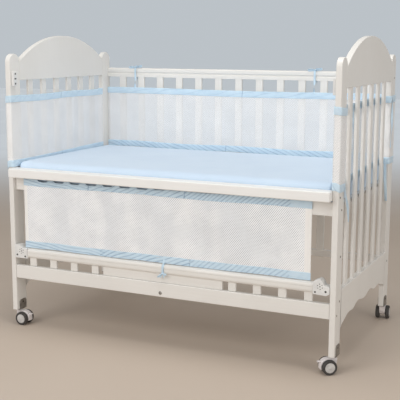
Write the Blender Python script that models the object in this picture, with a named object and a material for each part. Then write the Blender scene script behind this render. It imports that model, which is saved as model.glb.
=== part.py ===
import math

import bmesh
import bpy
from mathutils import Matrix, Vector

# Mesh crib bumper tied to a wooden crib on casters. Metres, +Z up, front at -Y.

# crib frame
LENGTH = 1.250
DEPTH = 0.700
POST_T = 0.020
POST_D = 0.060
LEG_Z = 0.060
POST_TOP = 1.010
NOTCH_Z = 0.982
ARCH_PEAK = 1.0755
ARCH_LOW = 0.914
APRON_TOP = 0.272
BOARD_T = 0.020
SLAT_W = 0.030
SLAT_T = 0.010
END_SLATS = 6
BACK_SLATS = 13
RAIL_TOP_LOW = 0.9075
RAIL_TOP_HIGH = 0.9445
BACK_LOW_RAIL = (0.219, 0.2455)
BACK_FRONT_Y = 0.680
BACK_SLAT_Y = 0.682
FIT = 0.0003

# front beam, base, mattress
BEAM_Y = (-0.031, 0.0208)
BEAM_Z = (0.567, 0.599)
LOW_BEAM_Z = (0.1845, 0.235)
BASE_Y = (0.0213, 0.679)
BASE_RAIL_Z = (0.515, 0.5442)
BASE_TOP = 0.5447
MATTRESS_Y = (0.0235, 0.657)
MATTRESS_HALF_X = 0.592
MATTRESS_TOP = 0.619

# lowered drop side
DROP_RAIL_Z = (0.266, 0.3013)
DROP_RAIL_Y = (-0.003, 0.027)
DROP_SLAT_Y = (0.006, 0.016)
RAIL_ROUND = 0.011
DROP_PITCH = 0.0886
DROP_BOARD_HALF = 0.231
BRACKET_X = 0.549

# bumper cloth
NET_T = 0.0014
BAND_T = 0.0040
BAND_H = 0.025
SLOT_H = 0.008
SLOT_T = 0.0020
CLOTH_OFF = 0.0024
TOP_Z = 0.860
LOW_Z = 0.6008

# casters
WHEEL_R = 0.025
WHEEL_W = 0.0145
WHEEL_SIDES = 20
WHEEL_GAP = 0.0006
HOOD_HALF = 0.0110
TRAIL = 0.020
PIN_R = 0.004
RUN = 0.00006

HALF = LENGTH / 2
INNER = HALF - POST_T

PAINT = ("paint", (0.86, 0.84, 0.80), 0.45, 0.0)
NET = ("net", (0.90, 0.92, 0.94), 0.85, 0.0)
BAND = ("band", (0.50, 0.68, 0.88), 0.85, 0.0)
SHEET = ("sheet", (0.66, 0.80, 0.95), 0.9, 0.0)
PLASTIC = ("plastic", (0.92, 0.92, 0.93), 0.35, 0.0)
TREAD = ("tread", (0.07, 0.07, 0.08), 0.6, 0.0)
STEEL = ("steel", (0.42, 0.40, 0.37), 0.4, 0.9)


def material(kind):
    name, colour, rough, metal = kind
    mat = bpy.data.materials.get(name)
    if mat is None:
        mat = bpy.data.materials.new(name)
        mat.use_nodes = True
        shader = mat.node_tree.nodes["Principled BSDF"]
        shader.inputs["Base Color"].default_value = (*colour, 1.0)
        shader.inputs["Roughness"].default_value = rough
        shader.inputs["Metallic"].default_value = metal
        mat.diffuse_color = (*colour, 1.0)
    return mat


def add(name, bm, kind, smooth=None):
    bmesh.ops.recalc_face_normals(bm, faces=bm.faces)
    for face in bm.faces:
        face.smooth = smooth is not None
    mesh = bpy.data.meshes.new(name)
    bm.to_mesh(mesh)
    bm.free()
    if smooth:
        mesh.set_sharp_from_angle(angle=math.radians(smooth))
    mesh.materials.append(material(kind))
    obj = bpy.data.objects.new(name, mesh)
    bpy.context.scene.collection.objects.link(obj)
    return obj


def round_edges(bm, edges, radius, steps=1):
    bmesh.ops.bevel(bm, geom=edges, offset=radius, segments=steps, profile=0.5,
                    affect="EDGES", material=-1)


def box(name, low, high, kind, radius=0.0, along=None, steps=1):
    bm = bmesh.new()
    size = [b - a for a, b in zip(low, high)]
    mid = [(a + b) / 2 for a, b in zip(low, high)]
    bmesh.ops.create_cube(bm, size=1.0, matrix=Matrix.Translation(mid) @ Matrix.Diagonal((*size, 1)))
    if radius:
        edges = bm.edges[:]
        if along is not None:
            edges = [e for e in edges
                     if abs((e.verts[0].co - e.verts[1].co)[along]) > size[along] * 0.9]
        round_edges(bm, edges, radius, steps)
    return add(name, bm, kind, 40 if radius else None)


def prism(name, outline, axis, low, high, kind, radius=0.0, steps=1):
    # outline in the two other axes, in order, pushed along axis
    bm = bmesh.new()
    first = []
    for a, b in outline:
        co = [a, b]
        co.insert(axis, low)
        first.append(bm.verts.new(co))
    face = bm.faces.new(first)
    out = bmesh.ops.extrude_face_region(bm, geom=[face])
    step = Vector((0, 0, 0))
    step[axis] = high - low
    bmesh.ops.translate(bm, verts=[v for v in out["geom"] if isinstance(v, bmesh.types.BMVert)],
                        vec=step)
    bmesh.ops.recalc_face_normals(bm, faces=bm.faces)
    if radius:
        rim = [e for e in bm.edges
               if abs((e.verts[0].co - e.verts[1].co)[axis]) < 1e-7]
        round_edges(bm, rim, radius, steps)
    return add(name, bm, kind, 40)


def fuse(base, others, operation="UNION"):
    for other in others:
        other.hide_render = True
        other.display_type = "WIRE"
        mod = base.modifiers.new("join", "BOOLEAN")
        mod.operation = operation
        mod.solver = "EXACT"
        mod.object = other
    graph = bpy.context.evaluated_depsgraph_get()
    graph.update()
    mesh = bpy.data.meshes.new_from_object(base.evaluated_get(graph))
    base.modifiers.clear()
    base.data = mesh
    for other in others:
        bpy.data.objects.remove(other, do_unlink=True)
    return base


def arc(cy, cz, radius, start, end, count):
    for i in range(count + 1):
        a = math.radians(start + (end - start) * i / count)
        yield cy + radius * math.cos(a), cz + radius * math.sin(a)


def clear_scene():
    for obj in list(bpy.data.objects):
        bpy.data.objects.remove(obj, do_unlink=True)


# ---- crib ----

def posts():
    for side, x0 in (("left", -HALF), ("right", INNER)):
        for end, y0 in (("front", 0.0), ("back", DEPTH - POST_D)):
            outline = [(y0, LEG_Z), (y0 + POST_D, LEG_Z)]
            outline += list(arc(y0 + POST_D / 2, POST_TOP - POST_D / 2, POST_D / 2, 0, 180, 10))
            prism(f"post_{end}_{side}", outline, 0, x0, x0 + POST_T, PAINT, 0.002)


def arch_outline():
    y0, y1 = POST_D + FIT, DEPTH - POST_D - FIT
    mid, half = DEPTH / 2, DEPTH / 2 - POST_D
    rise = ARCH_PEAK - NOTCH_Z
    radius = (half * half + rise * rise) / (2 * rise)
    points = [(y0, ARCH_LOW), (y1, ARCH_LOW)]
    steps = 18
    for i in range(steps + 1):
        y = y1 + (y0 - y1) * i / steps
        points.append((y, ARCH_PEAK - radius + math.sqrt(radius * radius - (y - mid) ** 2)))
    return points


# scalloped lower edge of the apron, from the post to the middle: distance and height
APRON_EDGE = (
    dict(y=0.0603, z=0.140),
    dict(y=0.068, z=0.148),
    dict(y=0.080, z=0.156),
    dict(y=0.096, z=0.163),
    dict(y=0.114, z=0.167),
    dict(y=0.121, z=0.168),
    dict(y=0.124, z=0.173),
    dict(y=0.145, z=0.1705),
    dict(y=0.170, z=0.1700),
    dict(y=0.196, z=0.1715),
    dict(y=0.218, z=0.1750),
    dict(y=0.222, z=0.180),
    dict(y=0.250, z=0.1815),
    dict(y=0.290, z=0.1840),
    dict(y=0.350, z=0.1850),
)


def apron_outline():
    y1 = DEPTH - POST_D - FIT
    low = [(p["y"], p["z"]) for p in APRON_EDGE]
    low += [(DEPTH - y, z) for y, z in reversed(low[:-1])]
    return low + [(y1, APRON_TOP), (POST_D + FIT, APRON_TOP)]


def end_panels():
    clear = DEPTH - 2 * POST_D
    gap = (clear - END_SLATS * SLAT_W) / (END_SLATS + 1)
    for side, sign in (("left", -1), ("right", 1)):
        xa, xb = sorted((sign * INNER, sign * HALF))
        arch = prism(f"end_panel_{side}", arch_outline(), 0, xa, xb, PAINT, 0.002)
        parts = [prism("apron", apron_outline(), 0, xa, xb, PAINT, 0.002)]
        for i in range(END_SLATS):
            y = POST_D + gap * (i + 1) + SLAT_W * i
            x = (xa + xb) / 2
            parts.append(box("slat", (x - SLAT_T / 2, y, APRON_TOP - 0.012),
                             (x + SLAT_T / 2, y + SLAT_W, ARCH_LOW + 0.012), PAINT, 0.003, 2))
        fuse(arch, parts)


def rail_outline():
    # back rail: rounded upper band, a groove, then a lower band
    y0, y1 = BACK_FRONT_Y, DEPTH
    z0, z1 = RAIL_TOP_LOW, RAIL_TOP_HIGH
    points = [(y1, z0), (y1, z1 - 0.004), (y1 - 0.004, z1)]
    points += [(y0 + 0.006, z1), (y0 + 0.0017, z1 - 0.002), (y0, z1 - 0.006), (y0, 0.9290)]
    points += [(y0 + 0.0012, 0.9268), (y0 + 0.0035, 0.9262), (y0 + 0.0035, 0.9218)]
    points += [(y0 + 0.0015, 0.9212), (y0 + 0.0008, 0.9198), (y0 + 0.0008, z0 + 0.002), (y0 + 0.0028, z0)]
    return points


def back_side():
    x = INNER - FIT
    top = prism("back_side", rail_outline(), 0, -x, x, PAINT)
    low, high = BACK_LOW_RAIL
    parts = [box("rail", (-x, BACK_FRONT_Y, low), (x, DEPTH - 0.001, high), PAINT, 0.003, 0)]
    gap = (2 * INNER - BACK_SLATS * SLAT_W) / (BACK_SLATS + 1)
    for i in range(BACK_SLATS):
        x0 = -INNER + gap * (i + 1) + SLAT_W * i
        parts.append(box("slat", (x0, BACK_SLAT_Y, high - 0.012),
                         (x0 + SLAT_W, BACK_SLAT_Y + SLAT_T, RAIL_TOP_LOW + 0.012), PAINT, 0.003, 2))
    fuse(top, parts)


def front_beams():
    x = INNER - FIT
    box("front_beam", (-x, BEAM_Y[0], BEAM_Z[0]), (x, BEAM_Y[1], BEAM_Z[1]), PAINT, 0.003)
    x = INNER - FIT
    box("low_beam", (-x, 0.0002, LOW_BEAM_Z[0]), (x, BOARD_T, LOW_BEAM_Z[1]), PAINT, 0.003)


def mattress_base():
    x = INNER - FIT
    y0, y1 = BASE_Y
    z0, z1 = BASE_RAIL_Z
    base = box("mattress_base", (-x, y0 + 0.004, BASE_TOP - 0.012), (x, y1 - 0.004, BASE_TOP), PAINT)
    parts = [
        box("front", (-x, y0, z0), (x, y0 + 0.0107, z1), PAINT, 0.002, 0),
        box("back", (-x, y1 - 0.018, z0), (x, y1, z1), PAINT, 0.002, 0),
        box("mid", (-0.02, y0 + 0.005, z0 + 0.004), (0.02, y1 - 0.010, BASE_TOP - 0.004), PAINT),
    ]
    fuse(base, parts)


def mattress():
    bm = bmesh.new()
    y0, y1 = MATTRESS_Y
    z0, z1 = BASE_TOP + FIT, MATTRESS_TOP
    size = (2 * MATTRESS_HALF_X, y1 - y0, z1 - z0, 1)
    mid = (0, (y0 + y1) / 2, (z0 + z1) / 2)
    bmesh.ops.create_cube(bm, size=1.0, matrix=Matrix.Translation(mid) @ Matrix.Diagonal(size))
    upright = [e for e in bm.edges if abs((e.verts[0].co - e.verts[1].co).z) > 0.05]
    round_edges(bm, upright, 0.030, 4)
    rim = [e for e in bm.edges if all(v.co.z > z1 - 1e-5 for v in e.verts)]
    round_edges(bm, rim, 0.022, 4)
    add("mattress", bm, SHEET, 40)


# ---- lowered drop side ----

def drop_side():
    y0, y1 = DROP_RAIL_Y
    z0, z1 = DROP_RAIL_Z
    r = RAIL_ROUND
    outline = []
    corners = ((y1 - r, z1 - r, 0), (y0 + r, z1 - r, 90), (y0 + r, z0 + r, 180), (y1 - r, z0 + r, 270))
    for cy, cz, start in corners:
        outline += list(arc(cy, cz, r, start, start + 90, 4))
    rail = prism("drop_side", outline, 0, -BRACKET_X + FIT, BRACKET_X - FIT, PAINT)
    ya, yb = DROP_SLAT_Y
    low = LOW_BEAM_Z[1] + FIT
    parts = [box("board", (-DROP_BOARD_HALF, ya - 0.001, low), (DROP_BOARD_HALF, yb + 0.001, z0 + 0.010),
                 PAINT, 0.002, 2)]
    for i in (3, 4, 5, 6):
        for sign in (-1, 1):
            x = sign * DROP_PITCH * i
            parts.append(box("slat", (x - 0.0145, ya, low), (x + 0.0145, yb, z0 + 0.010), PAINT, 0.003, 2))
    fuse(rail, parts)


# end bracket of the drop side: distance from the post's inner face, and height
HUMP = (
    dict(x=0.0004, z=0.268),
    dict(x=0.0004, z=0.288),
    dict(x=0.006, z=0.293),
    dict(x=0.016, z=0.2945),
    dict(x=0.021, z=0.298),
    dict(x=0.024, z=0.307),
    dict(x=0.030, z=0.313),
    dict(x=0.038, z=0.3145),
    dict(x=0.045, z=0.311),
    dict(x=0.0555, z=0.3045),
    dict(x=0.0555, z=0.264),
    dict(x=0.010, z=0.262),
)

BLOCK = (
    dict(x=0.0004, z=0.266),
    dict(x=0.0004, z=0.312),
    dict(x=0.003, z=0.3135),
    dict(x=0.022, z=0.3135),
    dict(x=0.026, z=0.311),
    dict(x=0.0335, z=0.3026),
    dict(x=0.045, z=0.3018),
    dict(x=0.0555, z=0.3016),
    dict(x=0.0555, z=0.264),
    dict(x=0.004, z=0.2635),
)


def end_brackets():
    for side, sign, table in (("left", -1, BLOCK), ("right", 1, HUMP)):
        outline = [(sign * (INNER - p["x"]), p["z"]) for p in table]
        prism(f"drop_bracket_{side}", outline, 1, -0.006, 0.030, PLASTIC, 0.0015)


def catches():
    for side, sign in (("left", -1), ("right", 1)):
        xa, xb = sorted((sign * (INNER - FIT), sign * (INNER - 0.011)))
        box(f"side_catch_{side}", (xa, 0.006, 0.894), (xb, 0.030, 0.948), PLASTIC, 0.003)


# ---- bumper cloth ----

def path_points(corners):
    # corners of a plan line, each with its rounding and the spacing of what leads to it
    pts = [Vector(c["at"]) for c in corners]
    line = [pts[0]]
    for i in range(1, len(pts)):
        here, before = pts[i], pts[i - 1]
        r = corners[i].get("r", 0.0)
        step = corners[i].get("step", 0.02)
        into = (here - before).normalized()
        last = i == len(pts) - 1
        stop = here if last else here - into * r
        start = line[-1]
        count = max(1, round((stop - start).length / step))
        line += [start.lerp(stop, k / count) for k in range(1, count + 1)]
        if not last:
            out = (pts[i + 1] - here).normalized()
            centre = here - into * r + out * r
            for k in range(1, 4):
                a = math.radians(90 * k / 3)
                line.append(centre - out * r * math.cos(a) + into * r * math.sin(a))
    return line


class Strip:
    # a cloth band standing on edge along a plan line, with folds from a short table
    def __init__(self, line, folds, low, high):
        self.line, self.folds, self.low, self.high = line, folds, low, high
        self.at = [0.0]
        for a, b in zip(line, line[1:]):
            self.at.append(self.at[-1] + (b - a).length)
        self.side = []
        for i in range(len(line)):
            a, b = line[max(i - 1, 0)], line[min(i + 1, len(line) - 1)]
            t = (b - a).normalized()
            self.side.append(Vector((t.y, -t.x)))

    def sway(self, i, up):
        s, total = self.at[i], 0.0
        for f in self.folds:
            w = math.exp(-((s - f["at"] - f.get("lean", 0.0) * (up - 0.5)) / f["wide"]) ** 2)
            total += f["deep"] * w * (f["low"] * (1 - up) + f["top"] * up)
        ease = min(1.0, min(s, self.at[-1] - s) / 0.03)
        return total * ease

    def body(self, i, up):
        # more depth between the bands than in them
        full = self.sway(i, 1.0 if up > 1 else 0.0 if up < 0 else up)
        edge = self.sway(i, 1.0) * max(up, 0) + self.sway(i, 0.0) * (1 - up)
        bulge = math.sin(math.pi * min(max(up, 0.0), 1.0)) ** 0.8 if 0 < up < 1 else 0.0
        return edge * 0.35 + (full - edge * 0.35) * bulge

    def place(self, i, away, z):
        p = self.line[i] + self.side[i] * away
        return Vector((p.x, p.y, z))


def sweep(bm, rings, caps=None):
    # caps splits each end face into simple ones
    for a, b in zip(rings, rings[1:]):
        n = len(a)
        for k in range(n):
            bm.faces.new((a[k], a[(k + 1) % n], b[(k + 1) % n], b[k]))
    for cap in caps or [range(len(rings[0]))]:
        bm.faces.new([rings[0][k] for k in reversed(cap)])
        bm.faces.new([rings[-1][k] for k in cap])


def net_panel(name, strip, rows):
    bm = bmesh.new()
    rings = []
    for i in range(len(strip.line)):
        z0 = strip.low(strip.at[i]) + BAND_H - SLOT_H + FIT
        z1 = strip.high(strip.at[i]) - BAND_H + SLOT_H - FIT
        inner = SLOT_H / (z1 - z0)
        levels = [0.0, inner] + [inner + (1 - 2 * inner) * k / rows for k in range(1, rows)] + [1 - inner, 1.0]
        ring = []
        for half, order in ((NET_T / 2, levels), (-NET_T / 2, list(reversed(levels)))):
            for v in order:
                up = (v - inner) / (1 - 2 * inner)
                ring.append(bm.verts.new(strip.place(i, strip.body(i, min(max(up, 0.0), 1.0)) + half,
                                                     z0 + (z1 - z0) * v)))
        rings.append(ring)
    n = len(rings[0])
    sweep(bm, rings, [(k, k + 1, n - 2 - k, n - 1 - k) for k in range(n // 2 - 1)])
    return add(name, bm, NET, 60)


def binding(name, strip, top):
    # folded strip: the net's edge stands in its slot
    h, t, s, d = BAND_H, BAND_T / 2, SLOT_T / 2, SLOT_H
    section = [(-t, 0), (t, 0), (t, h), (s, h), (s, h - d), (-s, h - d), (-s, h), (-t, h)]
    bm = bmesh.new()
    rings = []
    for i in range(len(strip.line)):
        z = strip.high(strip.at[i]) if top else strip.low(strip.at[i])
        flip = -1 if top else 1
        away = strip.body(i, 1.0 if top else 0.0)
        rings.append([bm.verts.new(strip.place(i, away + n, z + flip * v)) for n, v in section])
    sweep(bm, rings, [(0, 1, 4, 5), (1, 2, 3, 4), (5, 6, 7, 0)])
    return add(name, bm, BAND, 60)


def blend(value, low, high):
    u = min(max((value - low) / (high - low), 0.0), 1.0)
    return u * u * (3 - 2 * u)


# folds along each strip: place, width, depth into the bed, and share at the lower and upper edge
LEFT_FOLDS = (
    dict(at=0.215, wide=0.034, deep=0.005, low=0.7, top=1.0),
    dict(at=0.300, wide=0.030, deep=-0.002, low=1.0, top=0.4),
    dict(at=0.372, wide=0.034, deep=0.007, low=0.9, top=0.7, lean=0.020),
    dict(at=0.478, wide=0.028, deep=0.014, low=1.0, top=0.75, lean=0.012),
    dict(at=0.530, wide=0.026, deep=-0.002, low=0.6, top=1.0),
    dict(at=0.595, wide=0.032, deep=0.006, low=0.8, top=1.0),
    dict(at=0.660, wide=0.026, deep=-0.002, low=1.0, top=0.6),
)
RIGHT_FOLDS = (
    dict(at=0.190, wide=0.034, deep=0.006, low=1.0, top=0.8),
    dict(at=0.275, wide=0.030, deep=-0.002, low=0.6, top=1.0, lean=0.015),
    dict(at=0.350, wide=0.034, deep=0.008, low=0.7, top=0.9),
    dict(at=0.440, wide=0.028, deep=-0.002, low=1.0, top=0.5),
    dict(at=0.520, wide=0.034, deep=0.008, low=1.0, top=0.8, lean=-0.02),
    dict(at=0.620, wide=0.028, deep=0.004, low=0.5, top=1.0),
)
BACK_FOLDS = (
    dict(at=0.070, wide=0.030, deep=0.006, low=1.0, top=0.6),
    dict(at=0.165, wide=0.036, deep=-0.002, low=0.7, top=1.0, lean=0.02),
    dict(at=0.262, wide=0.030, deep=0.008, low=1.0, top=0.4),
    dict(at=0.352, wide=0.036, deep=-0.002, low=1.0, top=0.8),
    dict(at=0.455, wide=0.034, deep=0.009, low=0.9, top=0.5, lean=-0.02),
    dict(at=0.560, wide=0.040, deep=0.004, low=0.5, top=0.9),
    dict(at=0.668, wide=0.030, deep=0.010, low=1.0, top=0.5),
    dict(at=0.770, wide=0.034, deep=-0.002, low=0.7, top=0.7),
    dict(at=0.862, wide=0.032, deep=0.008, low=1.0, top=0.6, lean=0.02),
    dict(at=0.968, wide=0.036, deep=0.004, low=0.6, top=0.9),
    dict(at=1.085, wide=0.030, deep=0.008, low=1.0, top=0.5),
)
FRONT_FOLDS = (
    dict(at=0.080, wide=0.040, deep=0.004, low=0.7, top=1.0),
    dict(at=0.235, wide=0.045, deep=-0.004, low=1.0, top=0.6, lean=0.02),
    dict(at=0.400, wide=0.040, deep=0.005, low=0.8, top=0.8),
    dict(at=0.560, wide=0.045, deep=-0.004, low=0.5, top=1.0),
    dict(at=0.720, wide=0.050, deep=0.005, low=1.0, top=0.7, lean=-0.02),
    dict(at=0.880, wide=0.040, deep=-0.004, low=0.8, top=0.6),
    dict(at=1.000, wide=0.035, deep=0.004, low=0.7, top=1.0),
)


def end_strip(sign):
    u0, u1 = INNER - CLOTH_OFF, HALF + CLOTH_OFF
    back = DEPTH - POST_D - CLOTH_OFF
    corners = [
        dict(at=(u1, POST_D - 0.003)),
        dict(at=(u1, -CLOTH_OFF), r=0.0044, step=0.03),
        dict(at=(u0, -CLOTH_OFF), r=0.0044, step=0.02),
        dict(at=(u0, back), r=0.006, step=0.0195),
        dict(at=(u1, back), r=0.0044, step=0.02),
        dict(at=(u1, DEPTH - 0.003), step=0.03),
    ]
    line = [Vector((sign * p.x, p.y)) for p in path_points(corners)]
    turn = 0.095

    def low(s):
        return LOW_Z - 0.0075 * (1 - blend(s, 0.050, 0.072)) + 0.008 * blend(s, 0.2, 0.7)

    def high(s):
        return TOP_Z - 0.005 * (1 - blend(s, 0.02, turn)) + 0.0015 * math.sin(s * 17.0)

    table = LEFT_FOLDS if sign < 0 else RIGHT_FOLDS
    # the line's side points out of the bed at the right end
    folds = [dict(f, deep=f["deep"] * -sign) for f in table]
    return Strip(line, folds, low, high)


def back_strip():
    x, y = INNER - 0.0035, BACK_SLAT_Y - 0.006
    line = path_points([dict(at=(-x, y)), dict(at=(x, y), step=0.033)])
    return Strip(line, BACK_FOLDS,
                 lambda s: 0.6135 + 0.002 * math.sin(s * 13.0),
                 lambda s: 0.8632 + 0.0016 * math.sin(s * 6.0 + 0.8))


def front_strip():
    line = path_points([dict(at=(-0.565, 0.0100)), dict(at=(0.537, 0.0100), step=0.046)])
    return Strip(line, FRONT_FOLDS,
                 lambda s: DROP_RAIL_Z[1] + 0.0022,
                 lambda s: 0.5565 - 0.0022 * math.sin(math.pi * s / 1.102))


def bumper():
    strips = (("left", end_strip(-1), 3), ("back", back_strip(), 3),
              ("right", end_strip(1), 3), ("front", front_strip(), 3))
    for name, strip, rows in strips:
        net_panel(f"bumper_net_{name}", strip, rows)
        binding(f"band_top_{name}", strip, True)
        binding(f"band_low_{name}", strip, False)


# ---- ties ----

def ribbon(name, points, across, width, thick, closed=False):
    bm = bmesh.new()
    pts = [Vector(p) for p in points]
    rings = []
    n = len(pts)
    for i, p in enumerate(pts):
        a = pts[i - 1] if closed or i else pts[i]
        b = pts[(i + 1) % n] if closed or i < n - 1 else pts[i]
        t = (b - a).normalized()
        w = Vector(across[i] if isinstance(across, list) else across)
        w = (w - t * w.dot(t)).normalized()
        nrm = t.cross(w)
        rings.append([bm.verts.new(p + w * width / 2 * c + nrm * thick / 2 * d)
                      for c, d in ((-1, -1), (1, -1), (1, 1), (-1, 1))])
    if closed:
        for a, b in zip(rings, rings[1:] + rings[:1]):
            for k in range(4):
                bm.faces.new((a[k], a[(k + 1) % 4], b[(k + 1) % 4], b[k]))
    else:
        sweep(bm, rings)
    return add(name, bm, BAND, 50)


def bow(knot, side, droop, size):
    # two loops and two tails that meet in a small knot; side is the way the bow spreads
    k, s, d = Vector(knot), Vector(side), Vector(droop)
    face = s.cross(d).normalized()
    parts = []
    for sign in (-1, 1):
        loop = []
        for i in range(8):
            a = 2 * math.pi * i / 8
            along = (1 - math.cos(a)) / 2
            open_ = math.sin(a) * (0.25 + 0.75 * along) * 0.30
            loop.append(k + s * sign * size * (0.10 + 0.90 * along) + d * size * (0.02 * sign + 0.10 * along)
                        + face * size * open_ * 0.55 + d * size * open_ * 0.35)
        across = (d - face * 0.6).normalized()
        parts.append(ribbon("loop", loop, tuple(across), 0.0052, 0.0012, True))
        front = face * size * (0.045 + 0.02 * sign)
        tail = [k + s * sign * size * 0.10 + d * size * 0.01 + front,
                k + s * sign * size * (0.30 + 0.03 * sign) + d * size * 0.32 + front,
                k + s * sign * size * (0.46 - 0.04 * sign) + d * size * (0.62 + 0.05 * sign) + front * 0.4]
        parts.append(ribbon("tail", tail, tuple((s * sign - d * 0.4).normalized()), 0.0056, 0.0012))
    return parts


def loop_points(y0, y1, z0, z1, x, grow):
    ys, zs = (y0 - grow, y1 + grow), (z0 - grow, z1 + grow)
    c = 0.001
    return [(x, ys[0], zs[0] + c), (x, ys[0], zs[1] - c), (x, ys[0] + c, zs[1]), (x, ys[1] - c, zs[1]),
            (x, ys[1], zs[1] - c), (x, ys[1], zs[0] + c), (x, ys[1] - c, zs[0]), (x, ys[0] + c, zs[0])]


def back_tie(name, x, size):
    grow = 0.0013
    ring = loop_points(BACK_FRONT_Y, DEPTH, RAIL_TOP_LOW, RAIL_TOP_HIGH, x, grow)
    tie = ribbon(name, ring, (1, 0, 0), 0.008, 0.0012, True)
    y = BACK_FRONT_Y - grow - 0.0004
    band = 0.8632 + 0.0016 * math.sin((x + INNER - 0.0035) * 6.0 + 0.8)
    strap = ribbon("strap", [(x, y, RAIL_TOP_LOW + 0.0085), (x, y, RAIL_TOP_LOW - 0.010),
                             (x - 0.001, y - 0.002, 0.885), (x, BACK_SLAT_Y - 0.006, band + FIT)],
                   (1, 0, 0), 0.0072, 0.0012)
    top = RAIL_TOP_HIGH + 0.0042
    knot = box("knot", (x - 0.005, BACK_FRONT_Y - 0.001, RAIL_TOP_HIGH + grow - 0.0003),
               (x + 0.005, BACK_FRONT_Y + 0.009, RAIL_TOP_HIGH + 0.0075), BAND, 0.0012, 0)
    parts = bow((x, BACK_FRONT_Y + 0.004, top), (1, 0.0, 0.08), (0.0, -0.75, 0.30), size)
    fuse(tie, [strap, knot] + parts)


def front_tie():
    x = 0.012
    grow = 0.0012
    y0, y1 = DROP_RAIL_Y
    z0, z1 = DROP_RAIL_Z
    r = RAIL_ROUND
    ring = [(x, y0 - grow, z0 + r)]
    ring += [(x, y, z) for y, z in arc(y0 + r, z1 - r, r + grow, 180, 90, 3)]
    ring += [(x, y, z) for y, z in arc(y1 - r, z1 - r, r + grow, 90, 0, 3)]
    ring += [(x, y1 + grow, z0 + r + 0.001)]
    tie = ribbon("tie_front", ring, (1, 0, 0), 0.009, 0.0012)
    knot = box("knot", (x - 0.005, y0 - 0.0065, 0.262), (x + 0.005, y0 - grow + 0.0003, 0.2745), BAND, 0.0012, 0)
    foot = ribbon("foot", [(x, y0 - grow - 0.0004, z0 + 0.0125), (x, y0 - 0.0028, z0 - 0.001)], (1, 0, 0),
                  0.0082, 0.0012)
    parts = bow(Vector((x, y0 - 0.0042, 0.2665)), (1, 0, -0.05), (0.0, -0.15, -1.0), 0.025)
    fuse(tie, [foot, knot] + parts)


# loose ribbons at the right end: points down each one
LOOSE = (
    dict(name="ribbon_top_front", wide=0.008, across=(0, 1, 0.1),
         points=((0.6061, 0.203, 0.8545), (0.6061, 0.2035, 0.840), (0.6065, 0.206, 0.800),
                 (0.6068, 0.212, 0.745), (0.6066, 0.219, 0.690), (0.6064, 0.227, 0.630))),
    dict(name="ribbon_top_back", wide=0.008, across=(0, 1, 0),
         points=((0.6303, 0.6480, 0.852), (0.6303, 0.6465, 0.838), (0.6312, 0.641, 0.812), (0.6330, 0.634, 0.772),
                 (0.6330, 0.638, 0.738), (0.6322, 0.632, 0.700), (0.6318, 0.628, 0.672))),
    dict(name="ribbon_low_front", wide=0.010, across=(0, 1, 0),
         points=((0.6303, 0.0505, 0.606), (0.6303, 0.0515, 0.594), (0.6325, 0.058, 0.570),
                 (0.6345, 0.068, 0.545), (0.6345, 0.080, 0.512), (0.6335, 0.088, 0.490))),
    dict(name="ribbon_low_back", wide=0.010, across=(1, 0, 0),
         points=((0.6135, 0.6347, 0.628), (0.6135, 0.6347, 0.612), (0.6150, 0.6325, 0.575), (0.6170, 0.6305, 0.540),
                 (0.6195, 0.6310, 0.505), (0.6215, 0.6330, 0.471))),
)


def ties():
    back_tie("tie_back_left", -0.468, 0.030)
    back_tie("tie_back_right", 0.318, 0.028)
    front_tie()
    for item in LOOSE:
        ribbon(item["name"], item["points"], item["across"], item["wide"], 0.0012)


# ---- casters ----

CASTERS = (
    dict(name="front_left", x=-0.615, y=0.030, heading=0),
    dict(name="front_right", x=0.615, y=0.030, heading=217),
    dict(name="back_left", x=-0.615, y=0.670, heading=60),
    dict(name="back_right", x=0.615, y=0.670, heading=97),
)


def spun(name, profile, centre, kind, steps=WHEEL_SIDES):
    # profile of radius and distance along the axle, spun about the axle
    bm = bmesh.new()
    verts = [bm.verts.new((r, a, 0)) for r, a in profile]
    edges = [bm.edges.new(pair) for pair in zip(verts, verts[1:])]
    bmesh.ops.spin(bm, geom=verts + edges, cent=(0, 0, 0), axis=(0, 1, 0), angle=2 * math.pi,
                   steps=steps, use_merge=True)
    bmesh.ops.remove_doubles(bm, verts=bm.verts, dist=1e-6)
    bmesh.ops.rotate(bm, verts=bm.verts, cent=(0, 0, 0),
                     matrix=Matrix.Rotation(math.pi / steps, 3, "Y"))
    bmesh.ops.translate(bm, verts=bm.verts, vec=centre)
    return add(name, bm, kind, 40)


def turned(objects, x, y, heading):
    spin = Matrix.Translation((x, y, 0)) @ Matrix.Rotation(math.radians(heading), 4, "Z")
    for obj in objects:
        obj.data.transform(spin)


def tube(name, a, b, radius, kind, steps=20):
    bm = bmesh.new()
    a, b = Vector(a), Vector(b)
    turn = Vector((0, 0, 1)).rotation_difference(b - a).to_matrix().to_4x4()
    bmesh.ops.create_cone(bm, cap_ends=True, segments=steps, radius1=radius, radius2=radius,
                          depth=(b - a).length, matrix=Matrix.Translation((a + b) / 2) @ turn)
    return add(name, bm, kind, 40)


# side of the hood, from the swivel axis back along the trail: distance and height
HOOD = (
    dict(u=0.0460, z=0.0160),
    dict(u=0.0480, z=0.0230),
    dict(u=0.0478, z=0.0310),
    dict(u=0.0455, z=0.0390),
    dict(u=0.0410, z=0.0455),
    dict(u=0.0345, z=0.0500),
    dict(u=0.0260, z=0.0525),
    dict(u=0.0160, z=0.0532),
    dict(u=-0.0075, z=0.0532),
    dict(u=-0.0092, z=0.0500),
    dict(u=-0.0085, z=0.0420),
    dict(u=-0.0050, z=0.0320),
    dict(u=0.0020, z=0.0220),
    dict(u=0.0120, z=0.0160),
)


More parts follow.
